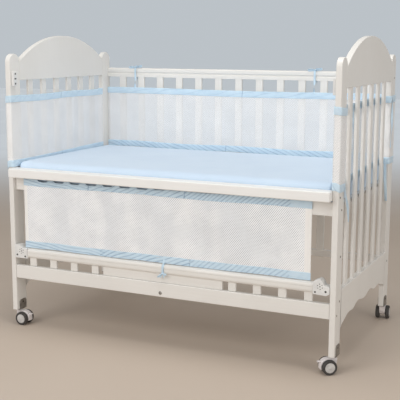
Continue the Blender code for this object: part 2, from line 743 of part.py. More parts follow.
def caster(item):
    # built with the swivel axis at the origin and the wheels trailing along +X
    name = item["name"]
    rim = math.cos(math.pi / WHEEL_SIDES)
    near = HOOD_HALF + WHEEL_GAP
    far = near + WHEEL_W
    r = WHEEL_R / rim
    bore = (PIN_R + RUN) / rim
    profile = [(0.0, far - 0.004), (bore, far - 0.004), (bore, near), (r, near),
               (r, far - 0.004), (r - 0.004, far), (0.0, far)]
    wheels = [spun(f"wheel_{name}_{tag}", [(p, sign * q) for p, q in profile], (TRAIL, 0, WHEEL_R), TREAD)
              for tag, sign in (("a", 1), ("b", -1))]
    hood = prism(f"hood_{name}", [(p["u"], p["z"]) for p in HOOD], 1, -HOOD_HALF, HOOD_HALF, PLASTIC, 0.0015)
    reach = far - 0.0045
    parts = [tube("collar", (0, 0, 0.0500), (0, 0, 0.0562), 0.0085, PLASTIC, 14),
             tube("pin", (0, 0, 0.0520), (0, 0, 0.0596), PIN_R, PLASTIC),
             tube("axle", (TRAIL, -reach, WHEEL_R), (TRAIL, reach, WHEEL_R), PIN_R, PLASTIC),
             box("lever", (TRAIL + 0.019, -0.0052, 0.0400), (TRAIL + 0.036, 0.0052, 0.0436), PLASTIC, 0.001, 1)]
    fuse(hood, parts)
    turned(wheels + [hood], item["x"], item["y"], item["heading"])
    # steel clip over the foot of the leg, longer towards the middle of the crib
    x, y = item["x"], item["y"]
    leg = POST_T / 2 + 0.0002
    ya, yb = (y - 0.016, y + 0.026) if y < DEPTH / 2 else (y - 0.026, y + 0.016)
    clip = box(f"clip_{name}", (x - leg - 0.0015, ya, 0.0572), (x + leg + 0.0015, yb, 0.0597), STEEL)
    parts = []
    for sign in (-1, 1):
        xa, xb = sorted((x + sign * leg, x + sign * (leg + 0.0015)))
        shape = [(ya, 0.0574), (yb, 0.0574), (yb, 0.088), (yb - 0.007, 0.0955), (ya + 0.007, 0.0955), (ya, 0.088)]
        plate = prism("plate", shape, 0, xa, xb, STEEL)
        eye = (ya + yb) / 2
        parts.append(fuse(plate, [tube("hole", (x - 0.03, eye, 0.084), (x + 0.03, eye, 0.084), 0.003, STEEL, 10)],
                          "DIFFERENCE"))
    fuse(clip, parts)
    bore = (PIN_R + RUN) / math.cos(math.pi / 20)
    fuse(clip, [tube("bore", (x, y, 0.050), (x, y, 0.0650), bore, STEEL)], "DIFFERENCE")


def build():
    clear_scene()
    posts()
    end_panels()
    back_side()
    front_beams()
    mattress_base()
    mattress()
    drop_side()
    end_brackets()
    catches()
    bumper()
    ties()
    for item in CASTERS:
        caster(item)
    # the origin goes to the middle of the footprint
    solids = list(bpy.context.scene.objects)
    points = [v.co for obj in solids for v in obj.data.vertices]
    low = [min(p[i] for p in points) for i in (0, 1)]
    high = [max(p[i] for p in points) for i in (0, 1)]
    shift = Vector((-(low[0] + high[0]) / 2, -(low[1] + high[1]) / 2, 0.0))
    for obj in solids:
        obj.data.transform(Matrix.Translation(shift))
        obj.data.update()


build()
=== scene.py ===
import math
from bisect import bisect_right

import bmesh
import bpy
from mathutils import Matrix, Vector, noise


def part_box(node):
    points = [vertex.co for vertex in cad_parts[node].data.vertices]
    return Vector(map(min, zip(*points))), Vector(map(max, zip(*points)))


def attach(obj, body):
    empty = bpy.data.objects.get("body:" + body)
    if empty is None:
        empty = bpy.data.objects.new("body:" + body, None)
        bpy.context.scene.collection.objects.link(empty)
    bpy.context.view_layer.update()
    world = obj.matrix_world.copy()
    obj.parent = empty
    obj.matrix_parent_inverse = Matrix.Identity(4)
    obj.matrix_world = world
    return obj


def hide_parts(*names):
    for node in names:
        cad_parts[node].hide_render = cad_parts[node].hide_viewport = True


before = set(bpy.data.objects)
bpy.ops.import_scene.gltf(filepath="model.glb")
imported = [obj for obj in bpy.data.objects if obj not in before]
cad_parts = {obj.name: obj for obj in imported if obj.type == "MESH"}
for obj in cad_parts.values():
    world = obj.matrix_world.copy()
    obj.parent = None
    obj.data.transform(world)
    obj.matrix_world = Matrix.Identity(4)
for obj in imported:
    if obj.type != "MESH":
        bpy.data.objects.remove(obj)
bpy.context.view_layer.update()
print("frame loaded:", len(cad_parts), "solids")

# the crib's own frame: X from the middle of its length, Y from the front of the posts
beamLow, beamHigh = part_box("low_beam")
cribAt = Vector(((beamLow[0] + beamHigh[0]) / 2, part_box("post_front_left")[0][1], 0.0))


# camera, at the photograph's angle
viewFrom = dict(at=(1.41008, -2.69026, 1.05519), azimuth=25.080, pitch=9.902, roll=0.154, lens=81.712)


def makeCamera():
    turn, dip, roll = (math.radians(viewFrom[k]) for k in ("azimuth", "pitch", "roll"))
    ahead = Vector((-math.sin(turn) * math.cos(dip), math.cos(turn) * math.cos(dip), -math.sin(dip)))
    right = Vector((math.cos(turn), math.sin(turn), 0.0))
    up = right.cross(ahead)
    across = right * math.cos(roll) + up * math.sin(roll)
    upward = up * math.cos(roll) - right * math.sin(roll)
    data = bpy.data.cameras.new("camera")
    data.lens = viewFrom["lens"]
    data.clip_end = 60
    camera = bpy.data.objects.new("camera", data)
    place = Matrix((across, upward, -ahead)).transposed().to_4x4()
    place.translation = Vector(viewFrom["at"]) + cribAt
    camera.matrix_world = place
    bpy.context.scene.collection.objects.link(camera)
    bpy.context.scene.camera = camera


makeCamera()
print("camera placed")


# studio light and backdrop
studio = dict(
    key=dict(at=(-1.5, -3.9, 2.55), size=2.4, power=66, tint=(1.0, 0.985, 0.965)),
    low=dict(at=(-0.2, -4.4, 0.7), size=1.8, power=12, tint=(1.0, 0.99, 0.98)),
    fill=dict(at=(4.0, -1.5, 1.5), size=2.4, power=34, tint=(1.0, 0.965, 0.92)),
    top=dict(at=(0.35, -0.5, 3.0), size=1.4, power=26, tint=(1.0, 0.99, 0.97)),
    sky=dict(tint=(0.500, 0.540, 0.575), light=(0.400, 0.395, 0.388)),
)


# materials

class Wire:
    # one node's output, so that shader maths reads as sums
    def __init__(self, finish, socket):
        self.finish, self.socket = finish, socket

    def maths(self, operation, *values):
        return self.finish.node("Math", dict(operation=operation), dict(enumerate(values)))

    def __add__(self, other):
        return self.maths("ADD", self, other)

    def __radd__(self, other):
        return self.maths("ADD", other, self)

    def __sub__(self, other):
        return self.maths("SUBTRACT", self, other)

    def __rsub__(self, other):
        return self.maths("SUBTRACT", other, self)

    def __mul__(self, other):
        return self.maths("MULTIPLY", self, other)

    def __rmul__(self, other):
        return self.maths("MULTIPLY", other, self)

    def cosine(self):
        return self.maths("COSINE", self)


class Finish:
    # one material: its principled shader, and the nodes that feed it
    def __init__(self, name, **plain):
        self.material = bpy.data.materials.new(name)
        self.material.use_nodes = True
        self.tree = self.material.node_tree
        self.shader = self.tree.nodes["Principled BSDF"]
        for key, value in plain.items():
            self.shader.inputs[key.replace("_", " ")].default_value = value

    def node(self, kind, settings=None, sockets=None, out=0):
        made = self.tree.nodes.new("ShaderNode" + kind)
        for key, value in (settings or {}).items():
            setattr(made, key, value)
        for key, value in (sockets or {}).items():
            if isinstance(value, Wire):
                self.tree.links.new(value.socket, made.inputs[key])
            else:
                made.inputs[key].default_value = value
        return Wire(self, made.outputs[out])

    def feed(self, **wires):
        for key, wire in wires.items():
            self.tree.links.new(wire.socket, self.shader.inputs[key.replace("_", " ")])

    def place(self, scale=(1.0, 1.0, 1.0), kind="Object"):
        spot = self.node("TexCoord", out=kind)
        return self.node("Mapping", {}, dict(Vector=spot, Scale=scale))

    def axes(self, spot):
        parts = self.node("SeparateXYZ", {}, {0: spot}).socket.node
        return [Wire(self, socket) for socket in parts.outputs]

    def cloud(self, spot, scale, detail=2.0, rough=0.5):
        return self.node("TexNoise", {}, dict(Vector=spot, Scale=scale, Detail=detail, Roughness=rough))

    def spread(self, value, low=0.0, high=1.0, fromTo=(0.35, 0.65)):
        # value's usual range, eased on to low and high
        return self.node("MapRange", dict(interpolation_type="SMOOTHSTEP"),
                         {0: value, 1: fromTo[0], 2: fromTo[1], 3: low, 4: high})

    def tint(self, share, first, second):
        return self.node("Mix", dict(data_type="RGBA"), {0: share, 6: first, 7: second}, out=2)

    def bump(self, height, distance, strength):
        return self.node("Bump", {}, dict(Strength=strength, Distance=distance, Height=height))


def rgb(r, g, b):
    return (r, g, b, 1.0)


paintLook = dict(light=rgb(0.845, 0.83, 0.80), dark=rgb(0.78, 0.76, 0.725), rough=0.36)
# the front beam's paint is the same paint made lighter: painted light, as the beam stands out into the light
beamLitLook = dict(light=rgb(0.915, 0.91, 0.895), dark=rgb(0.85, 0.845, 0.825), rough=0.34)


def makePaint(name, grain, look=paintLook):
    # satin white over wood: soft clouds, and a faint grain along the board
    paint = Finish(name, Coat_Weight=0.12, Coat_Roughness=0.28)
    spot = paint.place()
    clouds = paint.cloud(spot, 5.0, 3.0)
    streaks = paint.cloud(paint.place(grain), 1.0, 4.0, 0.6)
    shade = paint.spread(clouds, 0.0, 0.35) + paint.spread(streaks, 0.0, 0.20)
    specks = paint.cloud(spot, 900.0)
    paint.feed(Base_Color=paint.tint(shade, look["light"], look["dark"]),
               Roughness=paint.spread(clouds, look["rough"], look["rough"] + 0.12),
               Normal=paint.bump(streaks * 0.7 + specks * 0.3, 0.0004, 0.45))
    return paint


netLook = dict(wide=0.0070, tall=0.0088, hem=rgb(0.945, 0.935, 0.915), hemEdge=0.003)
netWeaves = dict(
    # drape is how much painted shade of wide folds goes into each weave's colour
    sheer=dict(solid=0.72, open=0.08, holes=(-0.05, 0.45), drape=0.0,
               thread=rgb(0.92, 0.925, 0.935), shade=rgb(0.865, 0.875, 0.895)),
    front=dict(solid=0.95, open=0.48, holes=(0.10, 0.62), drape=0.8, hems=(0.014, 1.080),
               thread=rgb(0.965, 0.98, 1.0), shade=rgb(0.865, 0.89, 0.925)))


def makeNet(weave):
    # knitted mesh with staggered diamond holes, a little closer on the front panel
    net = Finish(f"netCloth{weave.capitalize()}", Roughness=0.82, Sheen_Weight=0.25, Sheen_Roughness=0.5,
                 Specular_IOR_Level=0.25)
    item = netWeaves[weave]
    spot = net.place(kind="UV")
    u, v, _ = net.axes(spot)
    waver = net.cloud(spot, 60.0, 1.0) * 0.5
    rows = (u * (2 * math.pi / netLook["wide"]) + waver).cosine()
    lines = (v * (2 * math.pi / netLook["tall"]) + waver).cosine()
    holes = net.spread(rows * lines, fromTo=item["holes"])
    clouds = net.spread(net.cloud(spot, 14.0, 3.0))
    alpha = item["solid"] - holes * (item["solid"] - item["open"]) - clouds * 0.05
    twist = net.cloud(net.place((900.0, 260.0, 1.0), "UV"), 1.0)
    # painted shade: broad soft lengths darker than the rest, as the shade of wide folds
    paintedFolds = net.spread(net.cloud(net.place((10.0, 1.6, 1.0), "UV"), 1.0, 1.0), 0.0, item["drape"])
    colour = net.tint(clouds * 0.4 + twist * 0.3 + paintedFolds, item["thread"], item["shade"])
    if "hems" in item:
        # close plain cloth along both ends
        (near, far), edge = item["hems"], netLook["hemEdge"]
        hem = net.spread(u, 1.0, 0.0, (near - edge, near + edge))
        hem = hem + net.spread(u, fromTo=(far - edge, far + edge))
        colour = net.tint(hem, colour, netLook["hem"])
        holes = holes * (1.0 - hem)
        alpha = alpha * (1.0 - hem) + hem * 0.97
    net.feed(Base_Color=colour, Alpha=alpha, Normal=net.bump(1.0 - holes + twist * 0.4, 0.0005, 0.5))
    return net


# crease is the colour of the painted shade along the binding's creases and seams
tapeLook = dict(light=rgb(0.66, 0.82, 0.945), dark=rgb(0.50, 0.68, 0.84), crease=rgb(0.235, 0.375, 0.54),
                weave=0.0011, stitch=0.0034)


def makeTape(name, light, dark, stitched=True):
    # woven binding: fine diagonal rib, painted shade in its creases, a stitch line near its open edge
    tape = Finish(name, Sheen_Weight=0.3, Sheen_Roughness=0.45, Specular_IOR_Level=0.3)
    spot = tape.place(kind="UV")
    u, v, _ = tape.axes(spot)
    pitch = 2 * math.pi / tapeLook["weave"]
    rib = ((u + v * 0.8) * pitch).cosine() * 0.5 + ((u - v * 1.6) * pitch).cosine() * 0.3
    crease = tape.node("Attribute", dict(attribute_name="crease"), out="Fac")
    clouds = tape.spread(tape.cloud(spot, 26.0, 3.0))
    shade = clouds * 0.30 + rib * 0.05
    height = rib * 0.35 - crease * 0.3
    if stitched:
        # v runs round the fold: the open edges lie at these two marks
        line = sum(v.maths("COMPARE", v, at, 0.0005) for at in (0.0040, 0.0505))
        dash = tape.spread((u * (2 * math.pi / tapeLook["stitch"])).cosine(), fromTo=(-0.5, 0.0))
        stitch = line * dash
        shade = shade + stitch * 0.5
        height = height - stitch * 0.6
    # the crease share paints shade into the colour along each crease and seam
    tape.feed(Base_Color=tape.tint(crease * 0.85, tape.tint(shade, light, dark), tapeLook["crease"]),
              Roughness=tape.spread(clouds, 0.62, 0.78),
              Normal=tape.bump(height, 0.0004, 0.6))
    return tape


sheetLook = dict(light=rgb(0.633, 0.765, 0.91), dark=rgb(0.575, 0.705, 0.862), stripe=0.0105)


def makeSheet():
    # plain fitted sheet: fine weave and very faint lengthwise stripes
    sheet = Finish("sheetCloth", Sheen_Weight=0.25, Sheen_Roughness=0.5, Specular_IOR_Level=0.25)
    spot = sheet.place()
    x, y, z = sheet.axes(spot)
    stripes = ((y + z) * (2 * math.pi / sheetLook["stripe"])).cosine() * 0.5 + 0.5
    weave = (x * 4200.0).cosine() * ((y + z) * 4200.0).cosine()
    clouds = sheet.spread(sheet.cloud(spot, 7.0, 4.0))
    sheet.feed(Base_Color=sheet.tint(stripes * 0.28 + clouds * 0.25, sheetLook["light"], sheetLook["dark"]),
               Roughness=sheet.spread(clouds, 0.78, 0.9),
               Normal=sheet.bump(weave * 0.4 + sheet.cloud(spot, 240.0, 3.0), 0.0003, 0.5))
    return sheet


def makePlastic(name, light, dark, rough):
    plastic = Finish(name)
    spot = plastic.place()
    clouds = plastic.spread(plastic.cloud(spot, 38.0, 3.0))
    skin = plastic.cloud(spot, 1400.0)
    plastic.feed(Base_Color=plastic.tint(clouds, light, dark),
                 Roughness=plastic.spread(clouds, rough, rough + 0.14),
                 Normal=plastic.bump(skin, 0.0002, 0.4))
    return plastic


def makeSteel():
    steel = Finish("clipSteel", Metallic=0.9)
    drawn = steel.cloud(steel.place((900.0, 60.0, 60.0)), 1.0, 3.0)
    clouds = steel.spread(steel.cloud(steel.place(), 60.0, 3.0))
    steel.feed(Base_Color=steel.tint(clouds, rgb(0.40, 0.385, 0.36), rgb(0.27, 0.255, 0.235)),
               Roughness=steel.spread(drawn, 0.30, 0.52),
               Normal=steel.bump(drawn, 0.0002, 0.4))
    return steel


def makeFloor():
    # pale floor that fades into the backdrop's own colour further out
    floor = Finish("studioFloor", Emission_Strength=1.0)
    spot = floor.place()
    clouds = floor.spread(floor.cloud(spot, 0.8, 3.0))
    away = floor.node("VectorMath", dict(operation="LENGTH"), {0: spot}, out="Value")
    fade = floor.spread(away, fromTo=(2.0, 6.0))
    near, black = floor.tint(clouds, rgb(0.605, 0.515, 0.435), rgb(0.580, 0.490, 0.410)), rgb(0.0, 0.0, 0.0)
    floor.feed(Base_Color=floor.tint(fade, near, black),
               Emission_Color=floor.tint(fade, black, rgb(*studio["sky"]["tint"])),
               Roughness=floor.spread(clouds, 0.62, 0.72))
    return floor


paintUp = makePaint("paintUpright", (260.0, 260.0, 5.0))
paintLong = makePaint("paintLengthwise", (5.0, 260.0, 260.0))
paintBeam = makePaint("paintBeam", (5.0, 260.0, 260.0), beamLitLook)
netCloth = {weave: makeNet(weave) for weave in netWeaves}
tapeCloth = makeTape("bindingTape", tapeLook["light"], tapeLook["dark"])
ribbonCloth = makeTape("ribbonTape", rgb(0.62, 0.775, 0.895), rgb(0.42, 0.585, 0.74), False)
sheetCloth = makeSheet()
whitePlastic = makePlastic("whitePlastic", rgb(0.83, 0.83, 0.82), rgb(0.76, 0.76, 0.755), 0.30)
hoodPlastic = makePlastic("hoodPlastic", rgb(0.84, 0.80, 0.80), rgb(0.76, 0.72, 0.725), 0.34)
discPlastic = makePlastic("discPlastic", rgb(0.66, 0.65, 0.64), rgb(0.54, 0.53, 0.52), 0.36)
tyreRubber = makePlastic("tyreRubber", rgb(0.040, 0.036, 0.034), rgb(0.065, 0.060, 0.058), 0.52)
# near-black for flat discs and slots set where holes are: painted shade of their insides
darkGap = makePlastic("darkGap", rgb(0.05, 0.048, 0.045), rgb(0.03, 0.029, 0.028), 0.6)
clipSteel = makeSteel()
studioFloor = makeFloor()
print("materials made:", len(bpy.data.materials))


# shared modelling steps

def pieceName(node):
    words = node.split("_")
    return words[0] + "".join(word.capitalize() for word in words[1:])


def finishPiece(bm, name, finish, node=None, body="crib", crease=40, flatFaces=True, outward=True):
    # from the crib's frame to the part's; it stands for the solid of its own name, or for the one given
    node, name = node or name, pieceName(name)
    bmesh.ops.translate(bm, verts=bm.verts, vec=cribAt)
    if outward:
        bmesh.ops.recalc_face_normals(bm, faces=bm.faces)
    mesh = bpy.data.meshes.new(name)
    bm.to_mesh(mesh)
    bm.free()
    mesh.shade_smooth()
    if crease:
        mesh.set_sharp_from_angle(angle=math.radians(crease))
    mesh.materials.append(finish.material)
    piece = bpy.data.objects.new(name, mesh)
    bpy.context.scene.collection.objects.link(piece)
    if flatFaces:
        even = piece.modifiers.new("evenShading", "WEIGHTED_NORMAL")
        even.keep_sharp = True
    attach(piece, body)
    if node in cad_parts:
        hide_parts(node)
    return piece


def easeEdges(bm, edges, size, steps=3):
    bmesh.ops.bevel(bm, geom=list(edges), offset=size, segments=steps, profile=0.5, affect="EDGES",
                    material=-1)


def runEdges(bm, axis, least):
    # edges that run further than least along the axis
    return [e for e in bm.edges if abs(e.verts[0].co[axis] - e.verts[1].co[axis]) > least]


def sized(middle, size):
    return Matrix.Translation(middle) @ Matrix.Diagonal((*size, 1))


def boardInto(bm, low, high, ease=0.002, steps=3):
    size = [b - a for a, b in zip(low, high)]
    middle = [(a + b) / 2 for a, b in zip(low, high)]
    made = bmesh.ops.create_cube(bm, size=1.0, matrix=sized(middle, size))
    edges = {e for v in made["verts"] for e in v.link_edges}
    if ease:
        easeEdges(bm, edges, ease, steps)


def joinInto(bm, own):
    mesh = bpy.data.meshes.new("joined")
    own.to_mesh(mesh)
    own.free()
    bm.from_mesh(mesh)
    bpy.data.meshes.remove(mesh)


def sharpRim(bm, axis, faces=None):
    # sharp edges that lie across the axis
    edges = {e for f in faces for e in f.edges} if faces else bm.edges
    return [e for e in edges if len(e.link_faces) == 2 and e.calc_face_angle() > 0.8
            and abs(e.verts[0].co[axis] - e.verts[1].co[axis]) < 1e-6]


def plateInto(bm, outline, axis, low, high, ease=0.002, steps=3):
    # an outline in the two other axes, pushed along the axis and eased round its rim
    corners = []
    for a, b in outline:
        spot = [a, b]
        spot.insert(axis, low)
        corners.append(bm.verts.new(spot))
    face = bm.faces.new(corners)
    pushed = bmesh.ops.extrude_face_region(bm, geom=[face])
    far = [g for g in pushed["geom"] if isinstance(g, bmesh.types.BMVert)]
    step = Vector((0, 0, 0))
    step[axis] = high - low
    bmesh.ops.translate(bm, verts=far, vec=step)
    faces = {f for v in corners + far for f in v.link_faces}
    bmesh.ops.recalc_face_normals(bm, faces=list(faces))
    if ease:
        easeEdges(bm, sharpRim(bm, axis, faces), ease, steps)


def spunInto(bm, profile, place, steps=32):
    # radius and height pairs turned about Z, then set in place
    corners = [bm.verts.new((r, 0, h)) for r, h in profile]
    edges = [bm.edges.new(pair) for pair in zip(corners, corners[1:])]
    bmesh.ops.spin(bm, geom=corners + edges, cent=(0, 0, 0), axis=(0, 0, 1), angle=2 * math.pi,
                   steps=steps, use_merge=True)
    linked, stack = set(corners), list(corners)
    while stack:
        for e in stack.pop().link_edges:
            for v in e.verts:
                if v not in linked:
                    linked.add(v)
                    stack.append(v)
    bmesh.ops.transform(bm, matrix=place, verts=list(linked))
    bmesh.ops.remove_doubles(bm, verts=list(linked), dist=1e-6)


def facing(at, direction):
    # a matrix that turns +Z to the direction and moves to the spot
    turn = Vector((0, 0, 1)).rotation_difference(Vector(direction)).to_matrix().to_4x4()
    return Matrix.Translation(at) @ turn


def smoothLine(points, steps, closed=False):
    # an even curve through the points, in as many values as each point has
    count = len(points)
    spans = count if closed else count - 1
    line = []
    for i in range(spans):
        near = [(i + k) % count if closed else min(max(i + k, 0), count - 1) for k in (-1, 0, 1, 2)]
        four = [points[k] for k in near]
        for step in range(steps):
            t = step / steps
            a, b, c, d = (-t + 2 * t * t - t ** 3, 2 - 5 * t * t + 3 * t ** 3, t + 4 * t * t - 3 * t ** 3,
                          -t * t + t ** 3)
            line.append(tuple((a * w + b * x + c * y + d * z) / 2 for w, x, y, z in zip(*four)))
    line.append(line[0] if closed else tuple(points[-1]))
    return line


def blend(value, low, high):
    share = min(max((value - low) / (high - low), 0.0), 1.0)
    return share * share * (3 - 2 * share)


# crib

bothSides = (("left", -1), ("right", 1))
cribSizes = dict(half=0.625, inner=0.605, depth=0.700, fit=0.0003)
postSizes = dict(thick=0.020, deep=0.060, foot=0.060, top=1.010, ease=0.0022)
screwSpots = dict(front=((0.017, 0.577), (0.037, 0.535), (0.038, 0.384), (0.042, 0.237), (0.015, 0.196)),
                  back=((0.680, 0.9245), (0.672, 0.232)))
screwHead = ((0.0, 0.0003), (0.0012, 0.0003), (0.0014, 0.0010), (0.0030, 0.0009), (0.0038, 0.0004),
             (0.0040, -0.0004))


def makePosts():
    s = postSizes
    for side, sign in bothSides:
        for end, near in (("front", 0.0), ("back", cribSizes["depth"] - s["deep"])):
            bm = bmesh.new()
            x = sign * (cribSizes["half"] + cribSizes["inner"]) / 2
            half = s["thick"] / 2
            boardInto(bm, (x - half, near, s["foot"]), (x + half, near + s["deep"], s["top"]), 0)
            crown = [e for e in runEdges(bm, 0, half) if all(v.co.z > s["top"] - 1e-5 for v in e.verts)]
            easeEdges(bm, crown, s["deep"] / 2 - 0.00005, 20)
            bmesh.ops.remove_doubles(bm, verts=bm.verts, dist=0.0003)
            easeEdges(bm, sharpRim(bm, 0), s["ease"])
            finishPiece(bm, f"post_{end}_{side}", paintUp)
            heads = bmesh.new()
            for y, z in screwSpots[end]:
                spunInto(heads, screwHead, facing((sign * cribSizes["half"], y, z), (sign, 0, 0)), 20)
            finishPiece(heads, f"post_{end}_{side}_screws", clipSteel, flatFaces=False)


archSizes = dict(low=0.914, shoulder=0.982, peak=1.0755, columns=96)
apronBays = (
    ((0.0603, 0.140), (0.068, 0.1475), (0.090, 0.1545), (0.118, 0.1612), (0.138, 0.1678), (0.161, 0.1706)),
    ((0.163, 0.1702), (0.182, 0.1684), (0.204, 0.1662)),
    ((0.208, 0.1666), (0.222, 0.1692), (0.240, 0.1755), (0.258, 0.1799), (0.276, 0.1811)),
    ((0.280, 0.1806), (0.300, 0.1770), (0.325, 0.1720), (0.350, 0.1693)),
)
apronSizes = dict(low=0.140, top=0.272)
slatSizes = dict(wide=0.030, thick=0.010, low=0.262, top=0.924, ease=0.0028)


def shapedBoard(bm, low, high, marks, edit, ease=0.002):
    # a board cut into columns at the marks along Y, then shaped column by column
    size = [b - a for a, b in zip(low, high)]
    own = bmesh.new()
    boardInto(own, low, high, 0)
    long = runEdges(own, 1, size[1] / 2)
    bmesh.ops.subdivide_edges(own, edges=long, cuts=len(marks) - 2, use_grid_fill=True)
    for v in own.verts:
        at = round((v.co.y - low[1]) / size[1] * (len(marks) - 1))
        v.co.z = edit(at, v.co.z > (low[2] + high[2]) / 2)
        v.co.y = marks[at]
    easeEdges(own, sharpRim(own, 0), ease)
    joinInto(bm, own)


def makeEndPanels():
    depth, fit, inner, half = (cribSizes[k] for k in ("depth", "fit", "inner", "half"))
    wide, slim, deep = slatSizes["wide"], slatSizes["thick"] / 2, postSizes["deep"]
    y0, y1 = deep + fit, depth - deep - fit
    middle, reach = depth / 2, depth / 2 - deep
    rise = archSizes["peak"] - archSizes["shoulder"]
    radius = (reach * reach + rise * rise) / (2 * rise)
    count = archSizes["columns"]
    archMarks = [y0 + (y1 - y0) * i / count for i in range(count + 1)]
    scallop = [p for bay in apronBays for p in smoothLine(bay, 4)]
    scallop += [(depth - y, z) for y, z in reversed(scallop[:-1])]

    def archEdge(at, top):
        across = archMarks[at] - middle
        return archSizes["peak"] - radius + math.sqrt(radius ** 2 - across ** 2) if top else archSizes["low"]

    gap = (depth - 2 * deep - 6 * wide) / 7
    for side, sign in bothSides:
        xa, xb = sorted((sign * inner, sign * half))
        x = (xa + xb) / 2
        bm = bmesh.new()
        shapedBoard(bm, (xa, y0, archSizes["low"]), (xb, y1, archSizes["peak"]), archMarks, archEdge)
        shapedBoard(bm, (xa, y0, apronSizes["low"]), (xb, y1, apronSizes["top"]), [p[0] for p in scallop],
                    lambda at, top: apronSizes["top"] if top else scallop[at][1])
        for i in range(6):
            y = deep + gap * (i + 1) + wide * i
            boardInto(bm, (x - slim, y, slatSizes["low"]), (x + slim, y + wide, slatSizes["top"]),
                      slatSizes["ease"])
        finishPiece(bm, f"end_panel_{side}", paintUp)


backRail = dict(front=0.680, low=0.9075, high=0.9445)
backFoot = dict(low=0.219, high=0.2455)
backSlats = dict(front=0.682, back=0.692, low=0.235, high=0.918)


def makeBackSide():
    x = cribSizes["inner"] - cribSizes["fit"]
    y0, y1, z0, z1 = backRail["front"], cribSizes["depth"], backRail["low"], backRail["high"]
    bm = bmesh.new()
    outline = [(y1, z0), (y1, z1), (y0, z1), (y0, 0.9290), (y0 + 0.0035, 0.9262), (y0 + 0.0035, 0.9218),
               (y0 + 0.0008, 0.9198), (y0 + 0.0008, z0)]
    plateInto(bm, outline, 0, -x, x, 0)
    easeEdges(bm, [e for e in runEdges(bm, 0, 1) if e.verts[0].co.z > 0.94], 0.0058, 6)
    easeEdges(bm, [e for e in runEdges(bm, 0, 1) if e.calc_face_angle() > 0.5], 0.0007, 2)
    boardInto(bm, (-x, y0, backFoot["low"]), (x, y1 - 0.001, backFoot["high"]), 0.003)
    s, wide = backSlats, slatSizes["wide"]
    gap = (2 * cribSizes["inner"] - 13 * wide) / 14
    for i in range(13):
        at = -cribSizes["inner"] + gap * (i + 1) + wide * i
        boardInto(bm, (at, s["front"], s["low"]), (at + wide, s["back"], s["high"]), slatSizes["ease"])
    finishPiece(bm, "back_side", paintLong)


beamSizes = dict(front_beam=dict(front=-0.031, back=0.0208, low=0.567, high=0.599, ease=0.0035),
                 low_beam=dict(front=0.0002, back=0.020, low=0.1845, high=0.235, ease=0.003))
boltHead = ((0.0, 0.0012), (0.0022, 0.0012), (0.0024, 0.0022), (0.0048, 0.0020), (0.0060, 0.0010),
            (0.0062, -0.0005))


def makeBeams():
    x = cribSizes["inner"] - cribSizes["fit"]
    # the front beam takes the lighter copy of the paint, which is painted light
    for (node, b), paint in zip(beamSizes.items(), (paintBeam, paintLong)):
        bm = bmesh.new()
        boardInto(bm, (-x, b["front"], b["low"]), (x, b["back"], b["high"]), b["ease"], 4)
        finishPiece(bm, node, paint)
    bm = bmesh.new()
    spunInto(bm, boltHead, facing((0.0, 0.0002, 0.199), (0, -1, 0)), 24)
    finishPiece(bm, "beamBolt", clipSteel, flatFaces=False)


baseEnds = dict(front=0.0150, back=0.0214, low=0.5165, high=0.5610,
                left=(-0.6045, -0.5580), right=(0.5250, 0.6045))


def dressBase():
    # the base keeps its own shape; its front rail stands up to the beam beside the hung panel
    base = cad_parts["mattress_base"]
    for slot in base.material_slots:
        slot.material = paintLong.material
    b = baseEnds
    bm = bmesh.new()
    for xa, xb in (b["left"], b["right"]):
        boardInto(bm, (xa, b["front"], b["low"]), (xb, b["back"], b["high"]), 0.0015, 2)
    finishPiece(bm, "mattressBaseEnds", paintLong)


mattressSizes = dict(front=0.0218, back=0.6600, halfLong=0.5965, low=0.5450, top=0.6195,
                     round=(0.012, 0.030, 0.021), columns=150, rows=84, layers=16)


def makeMattress():
    # rounded block in a tight fitted sheet, with a slight crown and soft pulls at its corners
    m = mattressSizes
    bm = bmesh.new()
    bmesh.ops.create_cube(bm, size=2.0)
    for axis, cuts in ((0, m["columns"]), (1, m["rows"]), (2, m["layers"])):
        bmesh.ops.subdivide_edges(bm, edges=runEdges(bm, axis, 1.5), cuts=cuts, use_grid_fill=True)
    half = Vector((m["halfLong"], (m["back"] - m["front"]) / 2, (m["top"] - m["low"]) / 2))
    middle = Vector((0.0, (m["back"] + m["front"]) / 2, (m["top"] + m["low"]) / 2))
    core = half - Vector(m["round"])
    for v in bm.verts:
        # columns gather towards the edges, where the form turns
        warp = [math.copysign(1 - (1 - abs(c)) ** 1.7, c) for c in v.co]
        p = Vector([w * h for w, h in zip(warp, half)])
        q = Vector([min(max(c, -k), k) for c, k in zip(p, core)])
        away = Vector([(a - b) / r for a, b, r in zip(p, q, m["round"])])
        if away.length > 1e-6:
            away.normalize()
            p = q + Vector([a * r for a, r in zip(away, m["round"])])
        x, y = p.x / half.x, p.y / half.y
        inside = max(0.0, 1 - x ** 4) * max(0.0, 1 - y ** 4)
        soft = noise.noise(Vector((p.x * 3.1, p.y * 3.7, 4.2))) * 0.0011 * inside
        corner = blend(abs(x), 0.80, 1.0) * blend(abs(y), 0.62, 1.0)
        pull = math.sin((abs(p.x) - abs(p.y) * 1.2) * 95) * 0.0011 * corner
        if away.z > 0.3:
            p.z += soft + pull + 0.0010 * inside
        side = 1 - abs(away.z)
        sag = noise.noise(Vector((p.x * 9.0, p.y * 9.0, p.z * 24))) * 0.0009 * side
        p += Vector((away.x, away.y, 0)) * sag
        v.co = p + middle
        v.co.z = max(v.co.z, m["low"] + 0.0002)
    pad = finishPiece(bm, "mattressPad", sheetCloth, "mattress", crease=0, flatFaces=False)


makePosts()
makeEndPanels()
makeBackSide()
makeBeams()
dressBase()
makeMattress()
print("crib and mattress made")


# lowered drop side

